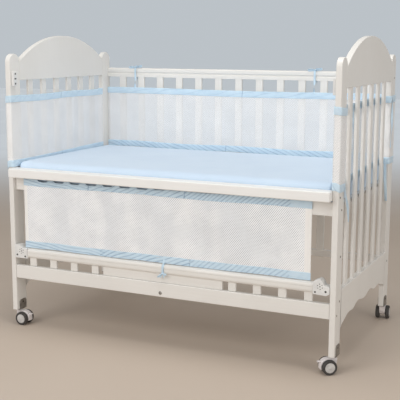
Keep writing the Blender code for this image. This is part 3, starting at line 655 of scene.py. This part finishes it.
dropSizes = dict(low=0.266, high=0.3013, front=-0.003, back=0.027, round=0.011, reach=0.5487, pitch=0.0886,
                 boardHalf=0.231, slatHalf=0.0145, foot=0.2353, groove=0.2872)
bracketBlock = ((0.0004, 0.266), (0.0004, 0.312), (0.003, 0.3135), (0.022, 0.3135), (0.026, 0.311),
                (0.0335, 0.3026), (0.045, 0.3018), (0.0555, 0.3016), (0.0555, 0.264), (0.004, 0.2635))
bracketHump = ((0.0004, 0.268), (0.0004, 0.288), (0.006, 0.293), (0.016, 0.2945), (0.021, 0.298), (0.024, 0.307),
               (0.030, 0.313), (0.038, 0.3145), (0.045, 0.311), (0.0555, 0.3045), (0.0555, 0.264), (0.010, 0.262))
eyelet = ((0.0, 0.00005), (0.0024, 0.00005), (0.0026, 0.0005), (0.0034, 0.0004), (0.0036, -0.0004))


def makeDropSide():
    d = dropSizes
    bm = bmesh.new()
    y0, y1, z0, z1, g = d["front"], d["back"], d["low"], d["high"], d["groove"]
    outline = [(y0, z0), (y1, z0), (y1, z1), (y0, z1), (y0, g + 0.0009), (y0 + 0.0016, g + 0.0005),
               (y0 + 0.0016, g - 0.0005), (y0, g - 0.0009)]
    plateInto(bm, outline, 0, -d["reach"], d["reach"], 0)
    corners = [e for e in runEdges(bm, 0, 1)
               if min(abs(e.verts[0].co.z - z0), abs(e.verts[0].co.z - z1)) < 1e-5]
    easeEdges(bm, corners, d["round"], 8)
    foot, into = d["foot"], z0 + 0.010
    boardInto(bm, (-d["boardHalf"], 0.005, foot), (d["boardHalf"], 0.017, into), 0.002)
    for i in (3, 4, 5, 6):
        for sign in (-1, 1):
            x = sign * d["pitch"] * i
            boardInto(bm, (x - d["slatHalf"], 0.006, foot), (x + d["slatHalf"], 0.016, into), 0.003)
    finishPiece(bm, "drop_side", paintLong)
    for side, sign, table in (("left", -1, bracketBlock), ("right", 1, bracketHump)):
        bm = bmesh.new()
        plateInto(bm, [(sign * (cribSizes["inner"] - x), z) for x, z in table], 1, -0.006, 0.030, 0.0022, 3)
        finishPiece(bm, f"drop_bracket_{side}", whitePlastic)
        bm = bmesh.new()
        # dark discs on the bracket's face: painted shade where its holes are
        marks = [(0.012, 0.276, 1.0), (0.047, 0.272, 0.9), (0.031, 0.291, 0.55)]
        for k in range(6):
            a = k * math.pi / 3 + 0.4
            marks.append((0.031 + 0.0085 * math.cos(a), 0.291 + 0.0085 * math.sin(a), 0.42))
        for x, z, size in marks:
            small = [(r * size, h) for r, h in eyelet]
            spunInto(bm, small, facing((sign * (cribSizes["inner"] - x), -0.006, z), (0, -1, 0)), 16)
        finishPiece(bm, f"bracket_eyes_{side}", darkGap, flatFaces=False)


catchSizes = dict(deep=0.011, front=0.006, back=0.030, low=0.894, high=0.948)


def makeCatches():
    c = catchSizes
    for side, sign in bothSides:
        face = sign * (cribSizes["inner"] - c["deep"])
        xa, xb = sorted((sign * (cribSizes["inner"] - cribSizes["fit"]), face))
        bm = bmesh.new()
        boardInto(bm, (xa, c["front"], c["low"]), (xb, c["back"], c["high"]), 0.0034, 4)
        finishPiece(bm, f"side_catch_{side}", whitePlastic)
        # dark discs and a dark slot on the catch: painted shade where its holes are
        bm = bmesh.new()
        y = (c["front"] + c["back"]) / 2
        for z in (0.9385, 0.9035):
            spunInto(bm, eyelet, facing((face, y, z), (-sign, 0, 0)), 20)
        reach = sorted((face - sign * 0.0003, face + sign * 0.001))
        boardInto(bm, (reach[0], y - 0.0055, 0.9185), (reach[1], y + 0.0055, 0.9235), 0.0006, 2)
        finishPiece(bm, f"catch_holes_{side}", darkGap, flatFaces=False)


makeDropSide()
makeCatches()
print("drop side made")


# casters

casterSpots = dict(left=-0.615, right=0.615, front=0.030, back=0.670)
casterHeadings = dict(front_left=0, front_right=217, back_left=60, back_right=97)
wheelSizes = dict(radius=0.025, near=0.0116, trail=0.020)
tyreProfile = ((0.0, 0.0), (0.0222, 0.0), (0.0242, 0.0006), (0.0250, 0.0024), (0.0250, 0.0098), (0.0246, 0.0118),
               (0.0235, 0.0134), (0.0215, 0.0141), (0.0190, 0.0143), (0.0172, 0.0140), (0.0168, 0.0130),
               (0.0, 0.0130))
discProfile = ((0.0, 0.0142), (0.0050, 0.0142), (0.0056, 0.0136), (0.0070, 0.0134), (0.0120, 0.0138),
               (0.0150, 0.0143), (0.0165, 0.0138), (0.0168, 0.0128))
hoodOutline = ((0.0460, 0.0160), (0.0480, 0.0230), (0.0478, 0.0310), (0.0455, 0.0390), (0.0410, 0.0455),
               (0.0345, 0.0500), (0.0260, 0.0525), (0.0160, 0.0532), (0.0040, 0.0532), (-0.0075, 0.0532),
               (-0.0092, 0.0500), (-0.0085, 0.0420), (-0.0050, 0.0320), (0.0020, 0.0220), (0.0120, 0.0160),
               (0.0280, 0.0150))
collarProfile = ((0.0, 0.0530), (0.0095, 0.0528), (0.0095, 0.0540), (0.0085, 0.0552), (0.0084, 0.0562),
                 (0.0050, 0.0566), (0.0040, 0.0568), (0.0040, 0.0596), (0.0, 0.0596))


def makeCasters():
    w = wheelSizes
    for name, heading in casterHeadings.items():
        y, x = (casterSpots[word] for word in name.split("_"))
        turn = Matrix.Translation((x, y, 0)) @ Matrix.Rotation(math.radians(heading), 4, "Z")
        for tag, sign in (("a", 1), ("b", -1)):
            place = turn @ facing((w["trail"], sign * w["near"], w["radius"]), (0, sign, 0))
            body = f"wheel_{name}_{tag}"
            bm = bmesh.new()
            spunInto(bm, tyreProfile, place, 48)
            finishPiece(bm, f"tyre_{name}_{tag}", tyreRubber, body, body, 35, False)
            bm = bmesh.new()
            spunInto(bm, discProfile, place, 48)
            finishPiece(bm, f"disc_{name}_{tag}", discPlastic, None, body, 50, False)
        bm = bmesh.new()
        outline = smoothLine(hoodOutline, 3, True)[:-1]
        plateInto(bm, outline, 1, -0.0110, 0.0110, 0.0026, 4)
        boardInto(bm, (w["trail"] + 0.018, -0.0052, 0.0398), (w["trail"] + 0.036, 0.0052, 0.0436), 0.0014, 3)
        spunInto(bm, collarProfile, Matrix.Identity(4), 32)
        for sign in (-1, 1):
            place = facing((w["trail"], sign * 0.010, w["radius"]), (0, sign, 0))
            spunInto(bm, ((0.0040, 0.0), (0.0040, 0.0140)), place, 16)
        bmesh.ops.transform(bm, matrix=turn, verts=bm.verts)
        finishPiece(bm, f"hood_{name}", hoodPlastic, None, f"swivel_{name}", 35)
        makeClip(name, x, y)


def makeClip(name, x, y):
    # folded steel saddle over the foot of the leg
    near, far = (y - 0.016, y + 0.026) if y < 0.35 else (y - 0.026, y + 0.016)
    leg = 0.0102
    bm = bmesh.new()
    boardInto(bm, (x - leg - 0.0015, near, 0.0572), (x + leg + 0.0015, far, 0.0597), 0.0005, 2)
    # dark discs on the saddle's sides: painted shade where its holes are
    eyes = bmesh.new()
    for sign in (-1, 1):
        xa, xb = sorted((x + sign * leg, x + sign * (leg + 0.0015)))
        outline = [(near, 0.0574), (far, 0.0574), (far, 0.0880), (far - 0.007, 0.0955), (near + 0.007, 0.0955),
                   (near, 0.0880)]
        plateInto(bm, outline, 0, xa, xb, 0.0004, 2)
        spunInto(eyes, eyelet, facing((x + sign * (leg + 0.0015), (near + far) / 2, 0.084), (sign, 0, 0)), 20)
    finishPiece(bm, f"clip_{name}", clipSteel)
    finishPiece(eyes, f"clip_eyes_{name}", darkGap, flatFaces=False)


makeCasters()
print("casters made")


# bumper cloth

clothSizes = dict(net=0.0009, band=0.0250, bandThick=0.0030, off=0.0024, top=0.860, low=0.6008)


def roundedLine(corners):
    # plan corners with their roundings, as a fine line
    spots = [Vector(c[0]) for c in corners]
    line = [spots[0]]
    for i in range(1, len(spots) - 1):
        into = (spots[i] - spots[i - 1]).normalized()
        out = (spots[i + 1] - spots[i]).normalized()
        r = corners[i][1]
        centre = spots[i] - into * r + out * r
        for k in range(9):
            a = math.radians(90 * k / 8)
            line.append(centre - out * r * math.cos(a) + into * r * math.sin(a))
    return line + [spots[-1]]


class Strip:
    # the plan line of one strip, its folds, and the heights of its two edges
    def __init__(self, corners, folds, low, high, seed, dips=lambda s: 0.0):
        self.line = roundedLine(corners)
        self.folds, self.low, self.high, self.seed, self.dips = folds, low, high, seed, dips
        self.marks = [0.0]
        for a, b in zip(self.line, self.line[1:]):
            self.marks.append(self.marks[-1] + (b - a).length)
        self.long = self.marks[-1]

    def spot(self, s):
        # the place on the line and the way to its side, softened over the corners
        i = min(max(bisect_right(self.marks, s) - 1, 0), len(self.line) - 2)
        share = (s - self.marks[i]) / max(self.marks[i + 1] - self.marks[i], 1e-9)
        ahead = Vector((0, 0))
        for step in (-0.0012, 0.0, 0.0012):
            k = min(max(bisect_right(self.marks, s + step) - 1, 0), len(self.line) - 2)
            ahead += (self.line[k + 1] - self.line[k]).normalized()
        ahead.normalize()
        return self.line[i].lerp(self.line[i + 1], share), Vector((ahead.y, -ahead.x))

    def sway(self, s, up):
        total = 0.0
        for at, wide, deep, low, top, lean in self.folds:
            near = math.exp(-((s - at - lean * (up - 0.5)) / wide) ** 2)
            total += deep * near * (low * (1 - up) + top * up)
        return total * min(1.0, min(s, self.long - s) / 0.03)

    def body(self, s, up):
        full = self.sway(s, up)
        edge = self.sway(s, 1.0) * up + self.sway(s, 0.0) * (1 - up)
        bulge = math.sin(math.pi * up) ** 0.8 if 0 < up < 1 else 0.0
        return edge * 0.35 + (full - edge * 0.35) * bulge

    def fine(self, s, z, up):
        # small uneven wrinkles, deepest between the bindings
        belly = math.sin(math.pi * min(max(up, 0.0), 1.0))
        slow = noise.noise(Vector((s * 21.0, z * 4.0, self.seed))) * 0.0016
        ridge = 1 - abs(noise.noise(Vector((s * 22.0 + z * 5.0, z * 5.0, self.seed + 9.0)))) * 2
        return belly * (slow + max(ridge - 0.70, 0.0) ** 1.5 * 0.0060)


def layWeave(bm, faces, long, high):
    # a flat grid's weave map, in metres
    weave = bm.loops.layers.uv.verify()
    for face in faces:
        for loop in face.loops:
            loop[weave].uv = ((loop.vert.co.x + 0.5) * long, (loop.vert.co.y + 0.5) * high)


def makeNetPanel(name, strip):
    inset = clothSizes["band"] * 0.45

    def place(u, v):
        s = u * strip.long
        low, high = strip.low(s) + inset, strip.high(s) - inset
        z = low + (high - low) * v
        inside = clothSizes["band"] * 0.55 / (high - low)
        up = min(max((v - inside) / (1 - 2 * inside), 0.0), 1.0)
        at, side = strip.spot(s)
        at = at + side * (strip.body(s, up) + strip.fine(s, z, up))
        return Vector((at.x, at.y, z))

    tall = strip.high(strip.long / 2) - strip.low(strip.long / 2) - 2 * inset
    bm = bmesh.new()
    columns, rows = round(strip.long / 0.0030), round(tall / 0.0042)
    bmesh.ops.create_grid(bm, x_segments=columns, y_segments=rows, size=0.5)
    layWeave(bm, bm.faces, strip.long, tall)
    for v in bm.verts:
        v.co = place(v.co.x + 0.5, v.co.y + 0.5)
    cloth = netCloth["front" if name == "front" else "sheer"]
    net = finishPiece(bm, f"net_{name}", cloth, f"bumper_net_{name}", crease=0, flatFaces=False,
                      outward=False)
    wall = net.modifiers.new("clothWall", "SOLIDIFY")
    wall.thickness = clothSizes["net"]
    wall.offset = 0
    net.visible_shadow = False    # sheer cloth: the light goes on through it
    return net, tall


def makeBinding(name, strip, top, creases, seams):
    # a folded tape, rolled from a grid; its creases are start, end, pitch, slant and depth
    tall, thick = clothSizes["band"], clothSizes["bandThick"]
    label = "top" if top else "low"

    def crease(s, h):
        total = 0.0
        rise = tall - h if top else h
        for start, end, pitch, lean, depth in creases:
            if start <= s <= end:
                along = (s - rise * lean) / pitch
                along += noise.noise(Vector((s * 9.0, strip.seed, 3.0 if top else 7.0))) * 0.8
                gap = abs(along - round(along)) * pitch / math.hypot(1.0, lean)
                fade = 0.55 + 0.45 * abs(math.sin(round(along) * 2.4))
                total += depth * fade * math.exp(-(gap / 0.0016) ** 2)
        for at in seams:
            total += math.exp(-((s - at - rise * 0.1) / 0.0014) ** 2)
        return min(total, 1.0)

    bm = bmesh.new()
    columns, around = round(strip.long / 0.0018), bandRows[name]
    bmesh.ops.create_grid(bm, x_segments=columns, y_segments=around, size=0.5)
    layWeave(bm, bm.faces, strip.long, 2 * tall + 2 * thick)
    dark = bm.verts.layers.float.new("crease")
    for v in bm.verts:
        s, turn = (v.co.x + 0.5) * strip.long, (v.co.y + 0.5) * 2 * math.pi
        across, rise = math.cos(turn), -math.sin(turn)
        n = math.copysign(abs(across) ** 0.45, across) * thick / 2
        h = tall / 2 * (1 + math.copysign(abs(rise) ** 0.75, rise))
        pucker = noise.noise(Vector((s * 42.0, strip.seed, 1.5))) * 0.0006
        fold = crease(s, h)
        z = strip.high(s) - h - strip.dips(s) * (1 - h / tall) ** 2 if top else strip.low(s) + h
        z += pucker * (1 if h < tall / 2 else 0.5)
        slack = noise.noise(Vector((s * 30.0, h * 30.0, strip.seed + 4.0))) * 0.0007
        at, side = strip.spot(s)
        at = at + side * (strip.body(s, 1.0 if top else 0.0) + slack + n * (1 - 0.55 * fold))
        v.co = Vector((at.x, at.y, z))
        # the crease share is kept for the tape's colour, where it paints shade along creases and seams
        v[dark] = fold
    bmesh.ops.remove_doubles(bm, verts=bm.verts, dist=1e-6)
    ends = [e for e in bm.edges if e.is_boundary]
    bmesh.ops.holes_fill(bm, edges=ends, sides=0)
    return finishPiece(bm, f"band_{label}_{name}", tapeCloth, crease=70, flatFaces=False)


# folds along each strip: place, width, depth into the bed, shares at the lower and upper edge, lean
leftFolds = ((0.215, 0.034, 0.005, 0.7, 1.0, 0), (0.300, 0.030, -0.002, 1.0, 0.4, 0),
             (0.372, 0.034, 0.007, 0.9, 0.7, 0.020), (0.478, 0.028, 0.014, 1.0, 0.75, 0.012),
             (0.530, 0.026, -0.002, 0.6, 1.0, 0), (0.595, 0.032, 0.006, 0.8, 1.0, 0),
             (0.660, 0.026, -0.002, 1.0, 0.6, 0))
rightFolds = ((0.190, 0.034, 0.006, 1.0, 0.8, 0), (0.275, 0.030, -0.002, 0.6, 1.0, 0.015),
              (0.350, 0.034, 0.008, 0.7, 0.9, 0), (0.440, 0.028, -0.002, 1.0, 0.5, 0),
              (0.520, 0.034, 0.008, 1.0, 0.8, -0.02), (0.620, 0.028, 0.004, 0.5, 1.0, 0))
backFolds = ((0.070, 0.030, 0.006, 1.0, 0.6, 0), (0.165, 0.036, -0.002, 0.7, 1.0, 0.02),
             (0.262, 0.030, 0.008, 1.0, 0.4, 0), (0.352, 0.036, -0.002, 1.0, 0.8, 0),
             (0.455, 0.034, 0.009, 0.9, 0.5, -0.02), (0.560, 0.040, 0.004, 0.5, 0.9, 0),
             (0.668, 0.030, 0.010, 1.0, 0.5, 0), (0.770, 0.034, -0.002, 0.7, 0.7, 0),
             (0.862, 0.032, 0.008, 1.0, 0.6, 0.02), (0.968, 0.036, 0.004, 0.6, 0.9, 0),
             (1.085, 0.030, 0.008, 1.0, 0.5, 0))
frontFolds = ((0.060, 0.040, 0.008, 0.7, 1.0, 0), (0.150, 0.040, -0.007, 1.0, 0.6, 0.02),
              (0.245, 0.036, 0.009, 0.8, 0.8, 0), (0.325, 0.034, -0.007, 0.5, 1.0, -0.03),
              (0.410, 0.034, 0.008, 1.0, 0.7, 0), (0.495, 0.034, -0.006, 0.8, 0.6, 0.02),
              (0.580, 0.036, 0.008, 0.7, 1.0, 0), (0.690, 0.050, -0.007, 1.0, 0.7, -0.09),
              (0.810, 0.050, 0.008, 0.6, 1.0, -0.07), (0.930, 0.045, -0.006, 0.8, 0.6, -0.04),
              (1.030, 0.030, 0.005, 0.7, 1.0, 0))


def endStrip(sign, folds, seed):
    off = clothSizes["off"]
    near, out = cribSizes["inner"] - off, cribSizes["half"] + off
    back = cribSizes["depth"] - 0.060 - off
    corners = [((out, 0.057), 0), ((out, -off), 0.0044), ((near, -off), 0.0044), ((near, back), 0.006),
               ((out, back), 0.0044), ((out, 0.697), 0)]
    corners = [((sign * x, y), r) for (x, y), r in corners]
    turned = [(at, wide, -sign * deep, low, top, lean) for at, wide, deep, low, top, lean in folds]

    def low(s):
        return clothSizes["low"] - 0.0075 * (1 - blend(s, 0.050, 0.072)) + 0.008 * blend(s, 0.2, 0.7)

    def high(s):
        return clothSizes["top"] - 0.005 * (1 - blend(s, 0.02, 0.095)) + 0.0015 * math.sin(s * 17.0)

    return Strip(corners, turned, low, high, seed)


backHalf = cribSizes["inner"] - 0.0035


def backTop(s):
    return 0.8632 + 0.0016 * math.sin(s * 6.0 + 0.8)


def backStrip():
    return Strip([((-backHalf, 0.676), 0), ((backHalf, 0.676), 0)], backFolds,
                 lambda s: 0.6135 + 0.002 * math.sin(s * 13.0), backTop, 21.0)


def frontDips(s):
    # a row of slack places in the upper edge, which fades to the right
    return 0.0072 * blend(math.cos((s - 0.083) * 2 * math.pi / 0.068), -0.75, 0.15) * blend(
        s, 0.03, 0.09) * (1 - blend(s, 0.47, 0.66))


def frontStrip():
    return Strip([((-0.565, 0.0100), 0), ((0.537, 0.0100), 0)], frontFolds,
                 lambda s: dropSizes["high"] + 0.0022 + 0.0006 * math.sin(s * 15.0),
                 lambda s: 0.5605 - 0.0012 * math.sin(s * 11.0), 33.0, frontDips)


# creases in the upper and lower binding: start and end along it, pitch, slant (rising to the right), depth
bandCreases = dict(
    left=(((0.0, 0.80, 0.047, 1.2, 0.22),), ((0.0, 0.80, 0.060, 4.0, 0.35),)),
    right=(((0.0, 0.80, 0.043, 0.8, 0.25),), ((0.0, 0.80, 0.033, 0.8, 0.45),)),
    back=(((0.0, 1.21, 0.110, 5.0, 0.35),), ((0.0, 1.21, 0.034, -2.4, 0.8),)),
    front=(((0.0, 0.28, 0.085, -7.0, 0.8), (0.27, 0.65, 0.033, 2.0, 1.0), (0.65, 1.03, 0.0175, 1.3, 0.9)),
           ((0.0, 0.34, 0.090, -8.0, 0.8), (0.32, 0.67, 0.034, 2.4, 1.0), (0.67, 1.03, 0.0200, 1.2, 0.7))),
)
bandRows = dict(left=24, right=24, back=36, front=52)    # faces round each band, for its creases
bandSeams = dict(left=((0.40,), (0.40,)), right=((0.42,), (0.42,)), back=((0.62,), (0.55,)),
                 front=((0.275, 0.652), (0.672,)))


def makeBumper():
    strips = dict(left=endStrip(-1, leftFolds, 11.0), back=backStrip(), right=endStrip(1, rightFolds, 45.0),
                  front=frontStrip())
    for name, strip in strips.items():
        net, tall = makeNetPanel(name, strip)
        bands = [makeBinding(name, strip, top, bandCreases[name][0 if top else 1],
                             bandSeams[name][0 if top else 1]) for top in (True, False)]
        bumper[name] = dict(net=net, bands=bands, flat=(strip.long, tall))
        print("strip made:", name, round(strip.long, 3))


bumper = {}
makeBumper()


# ties and ribbons

def ribbonInto(bm, points, across, width, thick=0.0007, steps=6, closed=False):
    # a tape swept through the points, its width lying along across at each one
    if not isinstance(across, list):
        across = [across] * len(points)
    line = smoothLine([(*p, *a) for p, a in zip(points, across)], steps, closed)
    count = len(line) - 1
    made = bmesh.ops.create_grid(bm, x_segments=count, y_segments=4, size=0.5)
    faces = list({f for v in made["verts"] for f in v.link_faces})
    long = sum((Vector(b[:3]) - Vector(a[:3])).length for a, b in zip(line, line[1:]))
    layWeave(bm, faces, long, width)
    for v in made["verts"]:
        i = round((v.co.x + 0.5) * count)
        here = Vector(line[i][:3])
        before = Vector(line[(i - 1) % count if closed else max(i - 1, 0)][:3])
        after = Vector(line[(i + 1) % count if closed else min(i + 1, count)][:3])
        ahead = (after - before).normalized()
        side = Vector(line[i][3:])
        side = (side - ahead * side.dot(ahead)).normalized()
        cup = 0.0009 * (1 - (2 * v.co.y) ** 2)
        v.co = here + side * v.co.y * width + ahead.cross(side) * cup
    if closed:
        bmesh.ops.remove_doubles(bm, verts=made["verts"], dist=1e-6)
        faces = list({f for v in made["verts"] if v.is_valid for f in v.link_faces})
    bmesh.ops.solidify(bm, geom=faces, thickness=thick)


def bowInto(bm, knot, side, droop, size, width, sag=0.12):
    # two loops and two free tails out of a knot
    k, s, d = Vector(knot), Vector(side), Vector(droop)
    face = s.cross(d).normalized()
    for sign in (-1, 1):
        loop = []
        for i in range(10):
            a = 2 * math.pi * i / 10
            along = (1 - math.cos(a)) / 2
            open_ = math.sin(a) * (0.25 + 0.75 * along) * 0.30
            loop.append(k + s * sign * size * (0.08 + 0.92 * along) + d * size * (0.02 * sign + sag * along)
                        + face * size * open_ * 0.60 + d * size * open_ * 0.40)
        ribbonInto(bm, [tuple(p) for p in loop], tuple((d - face * 0.6).normalized()), width, closed=True)
        front = face * size * (0.05 + 0.02 * sign)
        reach = 0.70 + 0.10 * sign
        tail = [k + front, k + s * sign * size * 0.16 + d * size * 0.12 + front,
                k + s * sign * size * (0.34 + 0.03 * sign) + d * size * 0.42 + front * 1.4,
                k + s * sign * size * (0.44 - 0.05 * sign) + d * size * reach + front * 0.6]
        ribbonInto(bm, [tuple(p) for p in tail], tuple((s * sign - d * 0.4).normalized()), width)
    place = sized(k + face * size * 0.03, (0.0085, 0.0070, 0.0075))
    bmesh.ops.create_uvsphere(bm, u_segments=20, v_segments=12, radius=0.5, matrix=place)


def finishTie(bm, node, strip):
    tie = finishPiece(bm, node, ribbonCloth, crease=50, flatFaces=False)
    bumper[strip]["bands"].append(tie)


backTies = dict(tie_back_left=dict(x=-0.468, size=0.031), tie_back_right=dict(x=0.318, size=0.029))


def makeBackTies():
    for node, item in backTies.items():
        x = item["x"]
        bm = bmesh.new()
        g = 0.0012
        y0, y1, z0, z1 = backRail["front"] - g, cribSizes["depth"] + g, backRail["low"] - g, backRail["high"] + g
        ring = [(x, y0, z0 + 0.004), (x, y0, z1 - 0.006), (x, y0 + 0.005, z1), (x, (y0 + y1) / 2, z1 + 0.0002),
                (x, y1 - 0.004, z1), (x, y1, z1 - 0.004), (x, y1, z0 + 0.004), (x, y1 - 0.003, z0),
                (x, (y0 + y1) / 2, z0), (x, y0 + 0.003, z0)]
        ribbonInto(bm, ring, (1, 0, 0), 0.0078, closed=True, steps=5)
        band = backTop(x + backHalf)
        strap = [(x, y0 - 0.0006, z0 + 0.012), (x, y0 - 0.0008, z0 - 0.006), (x - 0.001, y0 - 0.0024, 0.888),
                 (x - 0.0005, y0 - 0.0026, band + 0.006), (x, 0.6735, band - 0.006)]
        twist = [(1, 0, 0), (1, 0.1, 0), (0.5, -1.0, 0), (-0.7, -0.8, 0), (-1, 0, 0)]
        ribbonInto(bm, strap, twist, 0.0080, steps=9)
        bowInto(bm, (x, backRail["front"] + 0.004, z1 + 0.0034), (1, 0.0, 0.08), (0.0, -0.75, 0.30),
                item["size"], 0.0058)
        finishTie(bm, node, "back")


def makeFrontTie():
    x, g = 0.012, 0.0012
    d = dropSizes
    bm = bmesh.new()
    y0, y1, z0, z1, r = d["front"], d["back"], d["low"], d["high"], d["round"]
    ring = [(x, y0 - g, z0 + 0.006)]
    for cy, start in ((y0 + r, 180), (y1 - r, 90)):
        for k in range(5):
            a = math.radians(start - 90 * k / 4)
            ring.append((x, cy + (r + g) * math.cos(a), z1 - r + (r + g) * math.sin(a)))
    ring.append((x, y1 + g, z0 + r + 0.001))
    ribbonInto(bm, ring, (1, 0, 0), 0.0088, steps=4)
    strap = [(x + 0.001, 0.0095, z1 + 0.022), (x + 0.0005, 0.0055, z1 + 0.010), (x, y0 + 0.004, z1 + 0.0005),
             (x, y0 - g - 0.0008, z1 - 0.012), (x, y0 - g - 0.0010, z0 + 0.008)]
    ribbonInto(bm, strap, [(1, 0, 0), (1, 0.3, 0), (1, 0, 0.2), (1, 0, -0.1), (1, 0, 0)], 0.0072, steps=7)
    bowInto(bm, (x, y0 - 0.0044, 0.2700), (1, 0, 0.34), (0.0, -0.25, -0.97), 0.0165, 0.0050, 0.42)
    finishTie(bm, "tie_front", "front")


looseRibbons = dict(
    ribbon_top_front=dict(
        wide=0.0078,
        points=((0.6058, 0.203, 0.8545), (0.6061, 0.2035, 0.840), (0.6065, 0.206, 0.800), (0.6068, 0.212, 0.745),
                (0.6066, 0.219, 0.690), (0.6064, 0.227, 0.630)),
        across=[(0, 1, 0.1), (0, 1, 0.1), (0.3, 1, 0), (-0.3, 1, 0), (0.2, 1, 0), (0, 1, 0)]),
    ribbon_top_back=dict(
        wide=0.0078,
        points=((0.6303, 0.6480, 0.852), (0.6303, 0.6465, 0.838), (0.6312, 0.641, 0.812), (0.6330, 0.634, 0.772),
                (0.6330, 0.638, 0.738), (0.6322, 0.632, 0.700), (0.6318, 0.628, 0.672)),
        across=[(0, 1, 0), (0, 1, 0), (0.6, 0.8, 0), (1, 0.1, 0), (0.6, -0.8, 0), (0, -1, 0), (-0.4, -1, 0)]),
    ribbon_low_front=dict(
        wide=0.0098,
        points=((0.6303, 0.0505, 0.606), (0.6303, 0.0515, 0.594), (0.6325, 0.058, 0.570), (0.6345, 0.068, 0.545),
                (0.6345, 0.080, 0.512), (0.6335, 0.088, 0.490)),
        across=[(0, 1, 0), (0, 1, 0), (0.2, 1, 0), (0.5, 0.9, 0), (0.3, 1, 0), (0, 1, 0)]),
    ribbon_low_back=dict(
        wide=0.0098,
        points=((0.6135, 0.6345, 0.628), (0.6135, 0.6347, 0.612), (0.6150, 0.6325, 0.575), (0.6170, 0.6305, 0.540),
                (0.6195, 0.6310, 0.505), (0.6215, 0.6330, 0.471)),
        across=[(1, 0, 0), (1, 0, 0), (1, 0.3, 0), (1, 0.5, 0), (1, 0.2, 0), (1, -0.2, 0)]),
)


def makeLooseRibbons():
    for node, item in looseRibbons.items():
        bm = bmesh.new()
        ribbonInto(bm, item["points"], item["across"], item["wide"], steps=10)
        finishTie(bm, node, "right")


makeBackTies()
makeFrontTie()
makeLooseRibbons()
print("bumper made")


# studio

def makeStudio():
    scene = bpy.context.scene
    middle = Vector((0.0, 0.0, 0.5))
    for name in ("key", "low", "fill", "top"):
        item = studio[name]
        data = bpy.data.lights.new(name, "AREA")
        data.energy, data.size, data.color = item["power"], item["size"], item["tint"]
        lamp = bpy.data.objects.new(name, data)
        lamp.location = item["at"]
        lamp.rotation_mode = "QUATERNION"
        lamp.rotation_quaternion = (middle - lamp.location).to_track_quat("-Z", "Y")
        scene.collection.objects.link(lamp)
    world = bpy.data.worlds.new("studioSky")
    world.use_nodes = True
    # the backdrop is a little brighter to look at than the light it gives
    nodes, links = world.node_tree.nodes, world.node_tree.links
    seen, mix = nodes.new("ShaderNodeLightPath"), nodes.new("ShaderNodeMix")
    mix.data_type = "RGBA"
    mix.inputs[6].default_value = rgb(*studio["sky"]["light"])
    mix.inputs[7].default_value = rgb(*studio["sky"]["tint"])
    links.new(seen.outputs["Is Camera Ray"], mix.inputs[0])
    links.new(mix.outputs[2], nodes["Background"].inputs["Color"])
    scene.world = world
    scene.view_settings.view_transform = "Standard"
    bm = bmesh.new()
    bmesh.ops.create_grid(bm, x_segments=2, y_segments=2, size=14.0)
    mesh = bpy.data.meshes.new("studioFloor")
    bm.to_mesh(mesh)
    bm.free()
    mesh.materials.append(studioFloor.material)
    floor = bpy.data.objects.new("studioFloor", mesh)
    scene.collection.objects.link(floor)


makeStudio()
print("studio lit")
